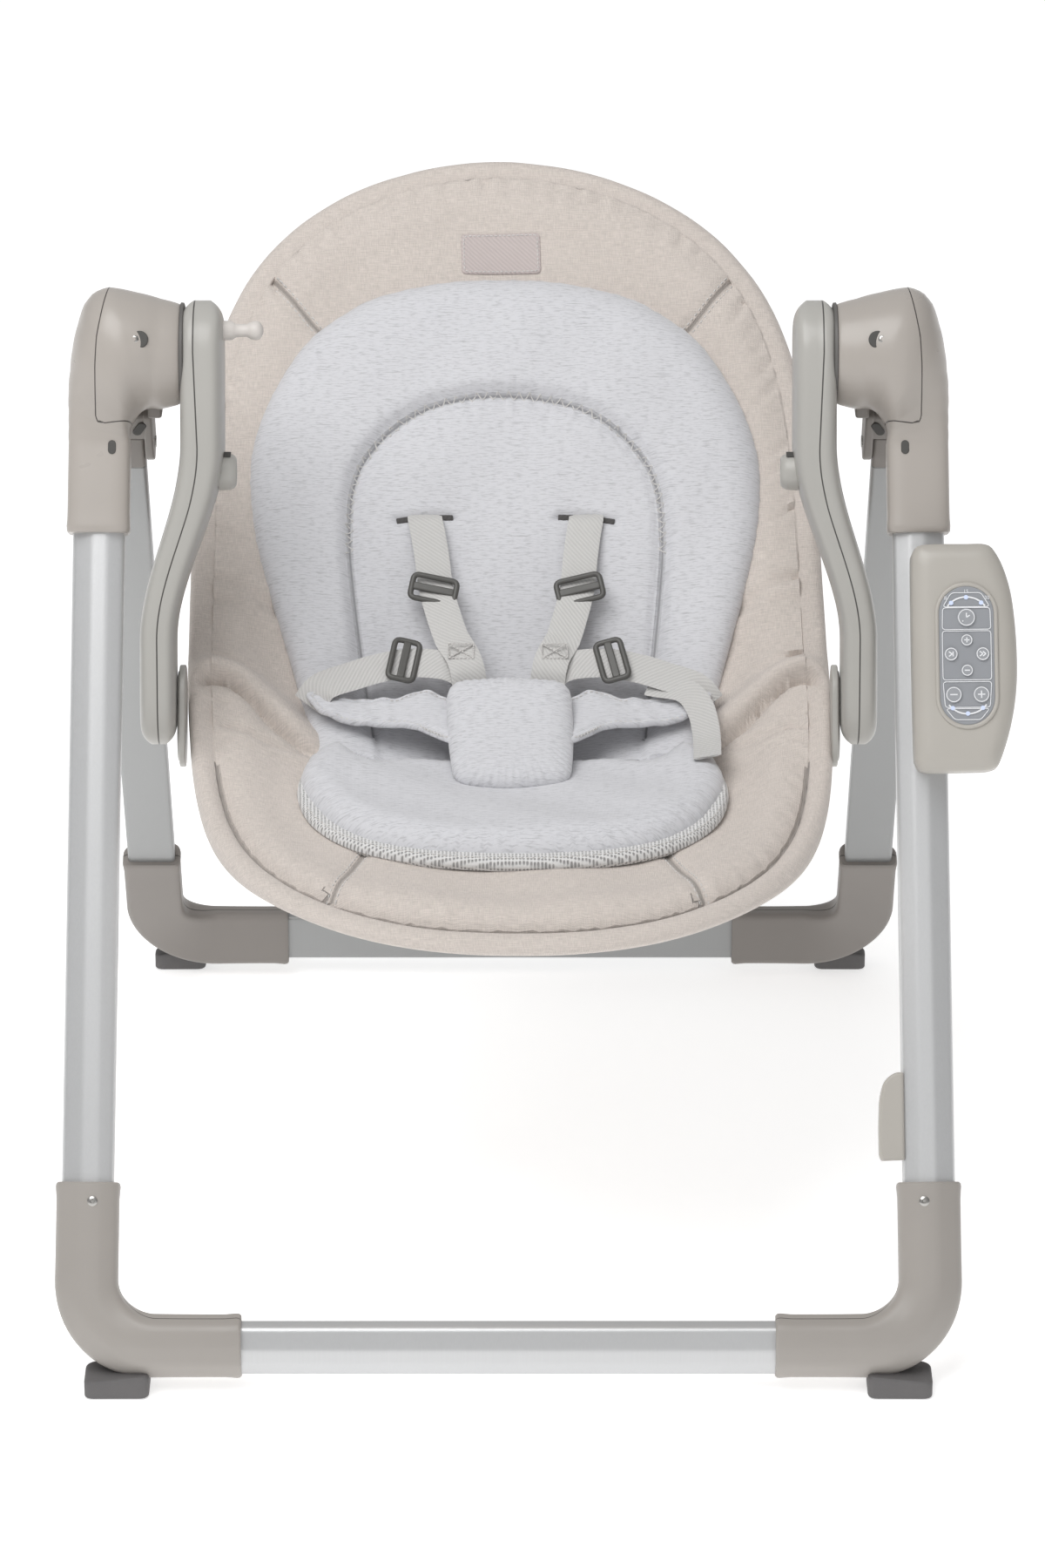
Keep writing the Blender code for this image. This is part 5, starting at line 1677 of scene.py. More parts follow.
    def adjuster(self, x: float, along: float, lift: float, sign: float, turn: float) -> list[Patch]:
        """A ladder-lock slider: a rounded frame with a bar across it.

        Args:
            x: Its distance from the middle.
            along: Its place along the seat.
            lift: Its height above the seat.
            sign: Which side it is on.
            turn: Its turn in its own plane, in degrees.

        Returns:
            The frame and the bar.
        """
        axes, origin = self.local(x * sign, along, lift, turn)
        frame_path = rounded([(-0.0150, -0.0085), (0.0150, -0.0085), (0.0150, 0.0085), (-0.0150, 0.0085)],
                             0.004, 5)
        path = np.concatenate((frame_path, np.zeros((len(frame_path), 1))), axis=1)
        ring = loop_bar(path, 0.0020, np.array((0.0, 0.0, 1.0)), 0.85)
        bar = slab(
            rounded([(-0.0140, -0.0026), (0.0140, -0.0026), (0.0140, 0.0026), (-0.0140, 0.0026)], 0.0012, 3),
            -0.0014, 0.0016, (0.0008, 0.0008, 0.0008), (0.0010, 0.0010, 0.0008),
        )
        return [ring.moved(axes, origin), bar.moved(axes, origin)]

    def cross_stitches(self, x: float, along: float, lift: float, sign: float) -> list[Patch]:
        """A box with a cross in it, sewn where the strap is doubled.

        Args:
            x: The sideways place.
            along: The place along the seat's middle line.
            lift: The height over the seat.
            sign: Plus or minus one, for the side.

        Returns:
            The stitches.
        """
        half = self.strap_wide * 0.36
        box = [(-half, -half), (half, -half), (half, half), (-half, half), (-half, -half)]
        lines = [box, [(-half, -half), (half, half)], [(-half, half), (half, -half)]]

        def height(flat: Array) -> Array:
            """The strap's face, 1.2 mm over its middle, the same everywhere."""
            return lift + 0.0012 + 0.0 * flat[..., 0]

        centre = np.array((x * sign, along))
        return [thread_path(np.array(line) + centre, height, 0.0026, 0.0, 0.0008) for line in lines]

    def wings(self) -> None:
        """The thin hip wings of jersey, ruffled along their upper edge."""
        for side in Side:
            outline = flowing([(x * side.value, along) for x, along in self.wing], 200, closed=True)
            pad = Pad(outline, (0.070 * side.value, -0.018), self.wing_lift, self.wing_base, rows=30)
            piece = add_piece(f"{side.word}_hip_wing", pad.patch(), JERSEY, Body.SWING, (), 80.0)
            inner = outline + unit(np.array((0.07 * side.value, -0.018)) - outline) * 0.0042
            inner = np.concatenate((inner, inner[:1]))
            thread = thread_path(inner, self.wing_edge_lift, 0.0036, 0.0, 0.0012)
            add_piece(f"{side.word}_hip_wing_stitches", thread, THREAD_PALE, Body.SWING)

    def wing_edge_lift(self, flat: Array) -> Array:
        """The wing's height under the stitches along its edge."""
        return self.wing_lift(flat, np.full(flat.shape[:-1], 0.0042))

    def wing_base(self, flat: Array, inset: Array) -> Array:
        """The wing's underside: it rises from the liner to the buckle, and its edges ripple."""
        x, along = np.abs(flat[..., 0]), flat[..., 1]
        climb = 0.0215 + 0.0150 * smooth_step(-x, -0.125, -0.045)
        ruffle = ripple(x * 1.0 + along * 0.4, ((38.0, 0.0012, 0.6), (71.0, 0.0006, 2.0)))
        return climb + ruffle * valley(inset, 0.012) * smooth_step(along, -0.05, -0.01)

    def wing_lift(self, flat: Array, inset: Array) -> Array:
        """The wing's upper side, a thin pad over its underside."""
        groove = valley(inset - 0.0045, 0.0016)
        return self.wing_base(flat, inset) + 0.0006 + 0.0042 * dome(inset, 0.0045) - 0.0014 * groove

    def crotch(self) -> None:
        """The crotch pad: a plump rounded panel that leans from the buckle down to the seat pad.

        Its own plane runs from the top edge to the foot edge; the outline is a rounded trapezium, the
        upper side a dome with a bound edge, and the lower side a shallower one.
        """
        top = SEAT.place(0.0, *self.pad_top)
        foot = SEAT.place(0.0, *self.pad_foot)
        upward = unit(top - foot)
        across = np.array((1.0, 0.0, 0.0))
        normal = np.cross(across, upward)
        length = float(np.linalg.norm(top - foot))
        half = self.pad_half
        corners = [
            (-half * 0.93, 0.0), (0.0, -0.006), (half * 0.93, 0.0), (half * 1.02, length * 0.5),
            (half, length), (0.0, length + 0.003), (-half, length), (-half * 1.02, length * 0.5),
        ]
        outline = rounded(corners, (0.013, 0.012, 0.013, 0.02, 0.014, 0.012, 0.014, 0.02), 8)
        outline = even(np.concatenate((outline, outline[:1])), 240, closed=True)
        middle = np.array((0.0, length / 2))
        share = np.linspace(0, 1, 40)[:, None, None] ** 1.7
        under = share[::2][:0:-1]
        steps = np.concatenate((under, share))
        flat = outline[None] + (middle - outline)[None] * steps
        inset = np.abs(line_distance(flat, np.concatenate((outline, outline[:1]))))
        below = (np.arange(len(steps)) < len(under))[:, None]
        x, y = flat[..., 0], flat[..., 1]
        upper = 0.0095 * dome(inset, 0.018)
        upper = upper + 0.0022 * valley(np.hypot(x / 0.03, (y - length * 0.45) / 0.045), 1.0)
        upper = upper + valley(inset, 0.012) * ripple(np.arctan2(y - length / 2, x), ((9.4, 0.0005, 0.7),))
        lower = -0.0045 * dome(inset, 0.012)
        height = np.where(below, lower, upper)
        bend = -0.0035 * np.sin(np.pi * np.clip(y / length, 0, 1))
        points = foot + x[..., None] * across + y[..., None] * upward + (height + bend)[..., None] * normal
        patch = Patch(points, cloth=flat)
        piece = add_piece("crotch_cushion", patch, JERSEY, Body.SWING, ["crotch_pad"], 80.0)

    def buckle(self) -> None:
        """The dark buckle above the pad: a domed shell with a round button set in a ring."""
        top, foot = SEAT.place(0.0, *self.pad_top), SEAT.place(0.0, *self.pad_foot)
        upward = unit(top - foot)
        axes = np.stack((np.array((1.0, 0.0, 0.0)), upward, np.cross((1.0, 0.0, 0.0), upward)))
        centre = top - upward * 0.0095 - axes[2] * 0.0105
        half = 0.0370
        corners = [(-half, -0.0150), (half, -0.0150), (half * 0.86, 0.0150), (-half * 0.86, 0.0150)]
        outline = rounded(corners, 0.008, 7)
        soft = (0.0040, 0.0040, 0.0040)
        shell = slab(outline, -0.0060, 0.0062, soft, soft, crown=0.0012)
        ring = turned([(0, 0), (0, 0.0092), (0.0012, 0.0092), (0.0016, 0.0086), (0.0008, 0.0080),
                       (0.0008, 0)],
                      (0, -0.0010, 0.0066), (0, 0, 1))
        patches = [shell.moved(axes, centre), ring.moved(axes, centre)]
        add_piece("buckle_shell", patches, BUCKLE_DARK, Body.SWING, ["harness_buckle"])
        button = turned([(0, 0), (0, 0.0074), (0.0022, 0.0070), (0.0028, 0.0060), (0.0024, 0)],
                        (0, -0.0010, 0.0066), (0, 0, 1))
        red = MouldedPlastic("buckle_button", (0.16, 0.155, 0.15), gloss=0.3)
        add_piece("buckle_button", button.moved(axes, centre), red, Body.SWING)


# ---------------------------------------------------------------- frame


@dataclass(frozen=True)
class LegLine:
    """The straight middle line of a right-hand leg, with the directions that its sections lie in.

    Attributes:
        top: The upper end, on the hub's axis.
        foot: The lower end, in the middle of the base bar.
    """

    top: tuple[float, float, float]
    foot: tuple[float, float, float]

    @property
    def length(self) -> float:
        """The line's length."""
        return float(np.linalg.norm(np.subtract(self.foot, self.top)))

    @property
    def down(self) -> Array:
        """The direction from the hub to the base."""
        return unit(np.subtract(self.foot, self.top))

    @property
    def front(self) -> Array:
        """The direction that the leg's flat face looks: forward for a front leg, back for a rear one."""
        forward = unit(np.cross(self.down, (1.0, 0.0, 0.0)))
        return forward * np.sign(forward[1]) * np.sign(self.foot[1])

    @property
    def side(self) -> Array:
        """Outwards, square to the other two."""
        across = np.cross(self.down, self.front)
        return unit(across * np.sign(across[0]))

    def at(self, side: Array, front: Array, reach: Array) -> Array:
        """Points given by their distances outwards, forward and down the leg."""
        side, front, reach = (np.asarray(value, float)[..., None] for value in (side, front, reach))
        return np.array(self.top) + side * self.side + front * self.front + reach * self.down

    def axes(self) -> Array:
        """Rows for Patch.moved: outwards, up the leg, and forward."""
        return np.stack((self.side, -self.down, self.front))


FRONT_LINE = LegLine((0.2685, 0.0, HUB_HEIGHT), (0.2760, -0.3200, 0.0300))
REAR_LINE = LegLine((0.2610, 0.0, HUB_HEIGHT), (0.2610, 0.2980, 0.0300))
TUBE_CORNERS = (
    (0.0170, -0.0090), (0.0170, 0.0030), (0.0035, 0.0090), (-0.0060,
                                                            0.0090), (-0.0170, 0.0046), (-0.0170, -0.0090),
)


def screw(place: Array, facing: Array, radius: float = 0.0036, depth: float = 0.0012) -> list[Patch]:
    """A pan-head screw: a domed head.

    Args:
        place: The middle of the hole's mouth.
        facing: The direction that it faces.
        radius: The head's radius.
        depth: How far the head stands out.

    Returns:
        The head.
    """
    head = [(-0.001, 0), (-0.001, radius), (depth * 0.3, radius), (depth * 0.8, radius * 0.8),
            (depth, radius * 0.45), (depth * 0.6, radius * 0.32), (depth * 0.55, 0)]
    return [turned(head, place, facing, 24)]


@dataclass
class TubeFrame:
    """The tubes, their corner elbows and the rubber feet.

    Attributes:
        wide: The elbows' width.
        deep: Their depth.
        bend: The bend's radius.
        front_top: Where the front elbow starts down its leg.
        rear_top: Where the rear elbow starts.
        front_sleeve: Where the front elbow ends on the base bar.
        rear_sleeve: Where the rear elbow ends.
        cap: The length of the plastic cap on a rear leg's upper end.
    """

    wide: float = 0.0410
    deep: float = 0.0255
    bend: float = 0.0450
    front_top: float = 0.5460
    rear_top: float = 0.5450
    front_sleeve: float = 0.1740
    rear_sleeve: float = 0.1640
    cap: float = 0.0290

    def build(self) -> None:
        """Makes the four legs, two base bars, four elbows and four feet."""
        # The rear frame's tubes take the darker copy of the satin tube: painted shade.
        for line, body, word, finish, start in (
            (FRONT_LINE, Body.FRONT, "front", LEG_TUBE, 0.060),
            (REAR_LINE, Body.REAR, "rear", SHADED_TUBE, 0.0765),
        ):
            for side in Side:
                self.leg(line, side, body, word, finish, start)
                self.elbow(line, side, body, word)
                self.foot(line, side, body, word)
            self.base(line, body, word, BASE_TUBE if word == "front" else SHADED_TUBE)

    def leg(self, line: LegLine, side: Side, body: Body, word: str, finish: Finish, start: float) -> None:
        """One leg tube: a six-sided section with soft corners, carried straight down.

        Args:
            line: The leg line that it lies on.
            side: The side that it is made for.
            body: The body that it rides on.
            word: Which frame it belongs to, front or rear.
            finish: Its finish.
            start: How far down the leg it begins.
        """
        section = rounded(TUBE_CORNERS, (0.003, 0.0035, 0.0022, 0.0022, 0.003, 0.003), 5)
        end = line.length - self.bend - 0.002
        name = f"{side.word}_{word}_leg"
        cap_end = start + (self.cap if word == "rear" else 0.0)
        for piece, finish, first, last, replaced in (
            ("tube", finish, cap_end, end, [name]),
            ("end_cap", ELBOW_DARK, start, cap_end, []),
        ):
            if last - first > 0.001:
                reach = np.linspace(first, last, 16)
                centres = line.at(np.zeros(16), np.zeros(16), reach)
                bar = swept(section, centres, line.side, line.front).mirrored(side)
                add_piece(f"{name}_{piece}", bar, finish, body, replaced, 24.0)

    def base(self, line: LegLine, body: Body, word: str, finish: Finish) -> None:
        """One base bar, which stands on its narrow side.

        Args:
            line: The leg line that it lies on.
            body: The body that it rides on.
            word: Which frame it belongs to, front or rear.
            finish: Its finish.
        """
        section = rounded(TUBE_CORNERS, (0.003, 0.0035, 0.0022, 0.0022, 0.003, 0.003), 5)
        half = self.front_sleeve + 0.02 if word == "front" else self.rear_sleeve + 0.02
        x = np.linspace(-half, half, 16)
        centres = np.stack((x, np.full(16, line.foot[1]), np.full(16, line.foot[2])), axis=-1)
        outward = np.array((0.0, np.sign(line.foot[1]), 0.0))
        bar = swept(section * (-1, 1), centres, np.array((0.0, 0.0, -1.0)), outward)
        name = f"{word}_base_tube"
        add_piece(f"{word}_base_bar", bar, finish, body, [name], 24.0)

    def bend_frames(self, line: LegLine, top: float, sleeve: float) -> tuple[Array, Array, Array]:
        """The elbow's path and the directions of its sections.

        It runs straight down the leg, then round a quarter circle whose middle is the bend's radius in
        from both bars, then straight in along the base. The width turns from outwards to downwards, and
        the depth from the leg's front to level.

        Args:
            line: The leg.
            top: Where the elbow starts.
            sleeve: Where it ends.

        Returns:
            Centres, width directions and depth directions.
        """
        inward = np.array((-1.0, 0.0, 0.0))
        corner = np.array(line.foot)
        reach = np.r_[top, np.linspace(top + 0.003, line.length - self.bend, 9)]
        straight = line.at(0 * reach, 0 * reach, reach)
        angle = np.linspace(0, np.pi / 2, 22)[1:, None]
        arc = corner - line.down * self.bend * (1 - np.sin(angle)) + inward * self.bend * (1 - np.cos(angle))
        x = np.r_[np.linspace(arc[-1, 0], sleeve + 0.003, 8)[1:], sleeve]
        level = np.stack((x, np.full(len(x), corner[1]), np.full(len(x), corner[2])), axis=-1)
        angle = np.r_[np.zeros(len(reach)), angle[:, 0], np.full(len(x), np.pi / 2)][:, None]
        share = angle / (np.pi / 2)
        ahead = unit(line.down * np.cos(angle) + inward * np.sin(angle))
        upright = np.array((0.0, np.sign(corner[1]), 0.0))
        front = unit(line.front * (1 - share) + upright * share)
        front = unit(front - ahead * (front * ahead).sum(-1, keepdims=True))
        across = np.cross(ahead, front)
        across = across * np.where((across * line.side).sum(-1, keepdims=True)[:1] > 0, 1.0, -1.0)
        return np.concatenate((straight, arc, level)), across, front

    def elbow(self, line: LegLine, side: Side, body: Body, word: str) -> None:
        """One elbow: a chamfered section round the bend, with collars and a lid line at its leg end.

        Args:
            line: The leg line that it lies on.
            side: The side that it is made for.
            body: The body that it rides on.
            word: Which frame it belongs to, front or rear.
        """
        top, sleeve = (
            (self.front_top, self.front_sleeve) if word == "front" else (self.rear_top, self.rear_sleeve)
        )
        centres, across, front = self.bend_frames(line, top, sleeve)
        share_wide, share_deep = self.wide / 0.0340, self.deep / 0.0180
        corners = np.array(TUBE_CORNERS) * (share_wide, share_deep)
        section = rounded(corners, (0.005, 0.006, 0.0045, 0.0045, 0.006, 0.005), 6)
        count = len(centres)
        walked = np.r_[0.0, np.cumsum(np.linalg.norm(np.diff(centres, axis=0), axis=1))]
        total = walked[-1]
        collar = valley(walked - 0.003, 0.004) + valley(walked - total + 0.003, 0.004)
        swell = 1 + 0.03 * collar + 0.035 * valley(walked - total * 0.55, 0.03)
        sections = section[None] * swell[:, None, None]
        bar = swept(sections, centres, across, front, edge=0.0012)
        bar.seam = np.broadcast_to(self.lid_line(walked, total, section, count), bar.points.shape[:2]).copy()
        # The rear elbows take the darker taupe, a shaded copy of the front elbows' plastic: painted shade.
        finish = HUB_SATIN if word == "front" else ELBOW_DARK
        name = f"{side.word}_{word}_elbow"
        add_piece(f"{name}_casting", bar.mirrored(side), finish, body, [name], 30.0)
        place = line.at(-0.004, self.deep / 2 - 0.0004, top + 0.0125)
        head = [patch.mirrored(side) for patch in screw(place, line.front, 0.0034)]
        add_piece(f"{name}_screw", head, SCREW_STEEL, body)

    def lid_line(self, walked: Array, total: float, section: Array, count: int) -> Array:
        """The part line round the elbow: a straight split along its inner side, on the section's x."""
        rows = np.r_[[walked[0]] * 4, walked[1:-1], [walked[-1]] * 4]
        height = section[None, :, 1] + 0.0035 + 0.0 * rows[:, None]
        return height

    def foot(self, line: LegLine, side: Side, body: Body, word: str) -> None:
        """One foot: a wedge of rubber under the bend.

        Args:
            line: Not used.
            side: The side that it is made for.
            body: The body that it rides on.
            word: Which frame it belongs to, front or rear.
        """
        name = f"{side.word}_{word}_foot"
        low, high = (np.array(corner) - HUB_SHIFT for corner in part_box(f"right_{word}_foot"))
        tucked = word == "rear"
        half = (high - low) / 2 * ((0.80, 0.55, 1.0) if tucked else (0.90, 1.0, 1.0))
        centre = (high + low) / 2 + ((-0.002, 0.006, 0.0) if tucked else (-0.0045, 0.0, 0.0))
        corners = [(-half[0], -half[1]), (half[0], -half[1]), (half[0], half[1]), (-half[0], half[1])]
        outline = rounded(corners, 0.006, 6) + centre[:2]
        pad = slab(outline, 0.0, 0.0165, (0.0025, 0.0025, 0.0020), (0.0035, 0.0010, 0.0030))
        slope = 1 - 0.22 * smooth_step(pad.points[..., 0:1], centre[0] - half[0], centre[0] + half[0])
        pad.points = pad.points * np.concatenate((np.ones_like(slope), np.ones_like(slope), slope), axis=-1)
        add_piece(f"{name}_pad", pad.mirrored(side), FOOT_RUBBER, body, [name])


@dataclass
class Hub:
    """The casing at the top of each leg: a drum round the axis that runs on as a sleeve down the leg.

    Sections swing from the drum's upright discs to the sleeve's flat ones about a pivot below and
    inside the drum. Each is a superellipse from an inner to an outer distance from the pivot.

    Attributes:
        pivot: The pivot's X, and its distance down from the axis.
        inner_x: Where the drum starts.
        turn: Angles of the swing at which the distances are given, in degrees.
        near: The inner distances.
        far: The outer distances.
        deep: Half the depth of each section.
        square: The superellipse's power.
        end: Where the sleeve ends.
    """

    pivot: tuple[float, float] = (0.2330, 0.0600)
    inner_x: float = 0.2157
    turn: tuple[float, ...] = (0, 10, 20, 30, 40.2, 48.3, 56.6, 62.5, 67.6, 72.7, 82.7, 90)
    near: tuple[float, ...] = (
        0.0152, 0.0160, 0.0172, 0.0186, 0.0199, 0.0208, 0.0219, 0.0228, 0.0235, 0.0240, 0.0243, 0.0240,
    )
    far: tuple[float, ...] = (
        0.0562, 0.0571, 0.0600, 0.0655, 0.0732, 0.0822, 0.0935, 0.1031, 0.1080, 0.1086, 0.1013, 0.0975,
    )
    deep: tuple[float, ...] = (
        0.0130, 0.0142, 0.0168, 0.0215, 0.0290, 0.0350, 0.0395, 0.0420, 0.0432, 0.0433, 0.0405, 0.0375,
    )
    square: tuple[float, ...] = (4.2, 4.0, 3.6, 3.1, 2.7, 2.5, 2.3, 2.2, 2.1, 2.05, 2.0, 2.0)
    end: float = 0.1200

    def build(self) -> None:
        """Makes both hubs with their rings, screws, leg brackets and fold tabs."""
        for side in Side:
            self.casing(side)
            self.trim(side)
            self.bracket(side)
            self.fold_tab(side)

    def casing(self, side: Side) -> None:
        """The casing itself, with the part line between its inner and outer shells.

        Args:
            side: The side that it is made for.
        """
        columns = 96
        angle = np.linspace(0, 2 * np.pi, columns, endpoint=False)
        x = np.linspace(self.inner_x, self.pivot[0], 7)[:-1]
        radius = np.interp(x, (0.2157, 0.2241, 0.2330), (0.0328, 0.0352, 0.0372))
        drum_side = np.broadcast_to((x - FRONT_LINE.top[0])[:, None], (len(x), columns))
        drum_reach = -radius[:, None] * np.cos(angle)
        drum_front = radius[:, None] * np.sin(angle)
        swing = np.linspace(90, 0, 44)
        near, far, deep, square = (
            np.interp(swing, self.turn, value) for value in (self.near, self.far, self.deep, self.square)
        )
        ring = blunt_ring((far - near) / 2, deep, square, columns)
        distance = ((far + near) / 2)[:, None] + ring[..., 0]
        way = np.radians(swing)[:, None]
        side_out = self.pivot[0] - FRONT_LINE.top[0] + distance * np.cos(way)
        reach = self.pivot[1] - distance * np.sin(way)
        down = np.linspace(self.pivot[1], self.end, 14)[1:, None]
        collar = 1 + 0.02 * valley(down - self.end + 0.004, 0.004)
        sleeve_side = side_out[-1] * collar
        sleeve_front = ring[-1, :, 1] * collar
        sides = np.concatenate((drum_side, side_out, sleeve_side))
        fronts = np.concatenate((drum_front, ring[..., 1], sleeve_front))
        reaches = np.concatenate((drum_reach, reach, np.broadcast_to(down, sleeve_side.shape)))
        rings = capped(FRONT_LINE.at(sides, fronts, reaches), 0.0012)
        flat = np.stack((sides, reaches), axis=-1)
        line = np.array(
            [(-0.0058, -0.060), (-0.0053, -0.0437), (0.0011, -0.005), (0.0020, 0.0127), (0.0022, 0.0450),
             (0.0008, 0.0478), (-0.0025, 0.0487), (-0.0120, 0.0478), (-0.0300, 0.0455)]
        )
        seam = line_distance(flat, line)
        seam = np.concatenate([seam[:1]] * 4 + [seam[1:-1]] + [seam[-1:]] * 4)
        seam[:4], seam[-4:] = 1.0, 1.0
        patch = Patch(rings, seam=seam)
        nodes = [f"{side.word}_hub_cover", f"{side.word}_hub_drum"]
        add_piece(f"{side.word}_hub_casing", patch.mirrored(side), HUB_GLOSS, Body.FRONT,
                  nodes, 45)

    def trim(self, side: Side) -> None:
        """The dark ring at the drum's inner end, and the two screw holes in its face, drawn as dark slabs of
        painted shade.

        Args:
            side: The side that it is made for.
        """
        ring = [(0.0, 0.0), (0.0, 0.0322), (0.0004, 0.0334), (0.0022, 0.0336), (0.0028, 0.0326),
                (0.0028, 0.0)]
        start = np.array((self.inner_x - 0.0020, 0.0, HUB_HEIGHT))
        patch = turned(ring, start, (1.0, 0.0, 0.0), 72).mirrored(side)
        dark = MouldedPlastic("dark_ring_plastic", (0.12, 0.115, 0.11), gloss=0.5)
        add_piece(f"{side.word}_hub_ring", patch, dark, Body.FRONT)
        x, down = 0.2450 - FRONT_LINE.top[0], 0.0640
        face = 0.0131
        # A dark slab in the oval screw hole: painted shade inside it.
        oval = stadium(0.0026, 0.0046, 12)
        hole = slab(oval, -0.0006, 0.0004, (0.0003,) * 3, (0.0004,) * 3)
        place = FRONT_LINE.at(-0.0085, face, down)
        add_piece(f"{side.word}_hub_recess", hole.moved(FRONT_LINE.axes(), place).mirrored(side),
                  RECESS_SHADE, Body.FRONT)
        top = math.sqrt(0.0405**2 - 0.004**2)
        place = FRONT_LINE.at(x - 0.0002, top * 0.985, -0.0035)
        # A dark stadium under the screw head: painted shade in its well.
        lower = slab(stadium(0.0058, 0.0092, 14)[:, ::-1], -0.0010, 0.0006, (0.0004,) * 3, (0.0008,) * 3)
        add_piece(f"{side.word}_hub_screw_well", lower.moved(FRONT_LINE.axes(), place).mirrored(side),
                  RECESS_SHADE, Body.FRONT)
        head = [patch.mirrored(side) for patch in screw(place + FRONT_LINE.front * 0.0006, FRONT_LINE.front,
                                                        0.0030)]
        add_piece(f"{side.word}_hub_screw", head, SCREW_STEEL, Body.FRONT)

    def bracket(self, side: Side) -> None:
        """The fork that the rear leg turns in: two cheeks and a web, chamfered at the lower inner corner.

        Args:
            side: The side that it is made for.
        """
        name = f"{side.word}_leg_bracket"
        wide, deep, long = 0.0470, 0.0290, 0.0540
        corners = [(-deep / 2 + 0.009, -long / 2), (deep / 2 - 0.004, -long / 2),
                   (deep / 2, -long / 2 + 0.006),
                   (deep / 2, long / 2), (-deep / 2, long / 2), (-deep / 2, -long / 2 + 0.012)]
        outline = rounded(corners, 0.004, 6)
        thick = (wide - 0.0350) / 2
        place = REAR_LINE.at(0.0, 0.0, 0.0745)
        axes = REAR_LINE.axes()
        sideways = np.stack((axes[2], axes[1], axes[0]))
        patches = []
        for middle in (-(wide - thick) / 2, (wide - thick) / 2):
            cheek = slab(outline, middle - thick / 2, middle + thick / 2, (0.0015,) * 3, (0.0015,) * 3)
            patches.append(cheek.moved(sideways, place).mirrored(side))
        half = np.array((wide, deep)) / 2 - 0.0008
        corners = [(-half[0], -half[1]), (half[0], -half[1]), (half[0], half[1]), (-half[0], half[1])]
        top = slab(rounded(corners, 0.003, 5), long / 2 - 0.0235, long / 2 - 0.0008, (0.001,) * 3,
                   (0.003,) * 3)
        upright = np.stack((axes[0], axes[2], axes[1]))
        patches.append(top.moved(upright, place).mirrored(side))
        add_piece(f"{name}_fork", patches, ELBOW_DARK, Body.FRONT, [name], 32)
        # A dark slab in the fork's slot: painted shade inside it.
        slot = slab(stadium(0.0030, 0.0066, 12), -0.0006, 0.0004, (0.0003,) * 3, (0.0005,) * 3)
        lean = math.radians(28)
        axes = REAR_LINE.axes() * ((1,), (1,), (-1,))
        turn = np.array(((math.cos(lean), math.sin(lean), 0), (-math.sin(lean), math.cos(lean), 0),
                         (0, 0, 1)))
        place = REAR_LINE.at(-wide / 2 + 0.0085, -deep / 2, 0.0745 - long / 2 + 0.012)
        add_piece(f"{name}_slot", slot.moved(turn @ axes, place).mirrored(side), RECESS_SHADE, Body.FRONT)

    def fold_tab(self, side: Side) -> None:
        """The folding catch's release tab under the drum.

        Args:
            side: The side that it is made for.
        """
        name = f"{side.word}_fold_button"
        low, high = (np.array(corner) - HUB_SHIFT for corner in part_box("right_fold_button"))
        half, centre = (high - low) / 2, (high + low) / 2
        corners = [(-half[0], -half[1]), (half[0], -half[1]), (half[0], half[1]), (-half[0], half[1])]
        outline = rounded(corners, 0.0020, 5) + centre[:2]
        tab = slab(outline, low[2], high[2], (0.0016, 0.0016, 0.0016), (0.001, 0.001, 0.001))
        obj = add_piece(f"{name}_tab", tab.mirrored(side), ELBOW_DARK, None, [name])
        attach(obj, name)


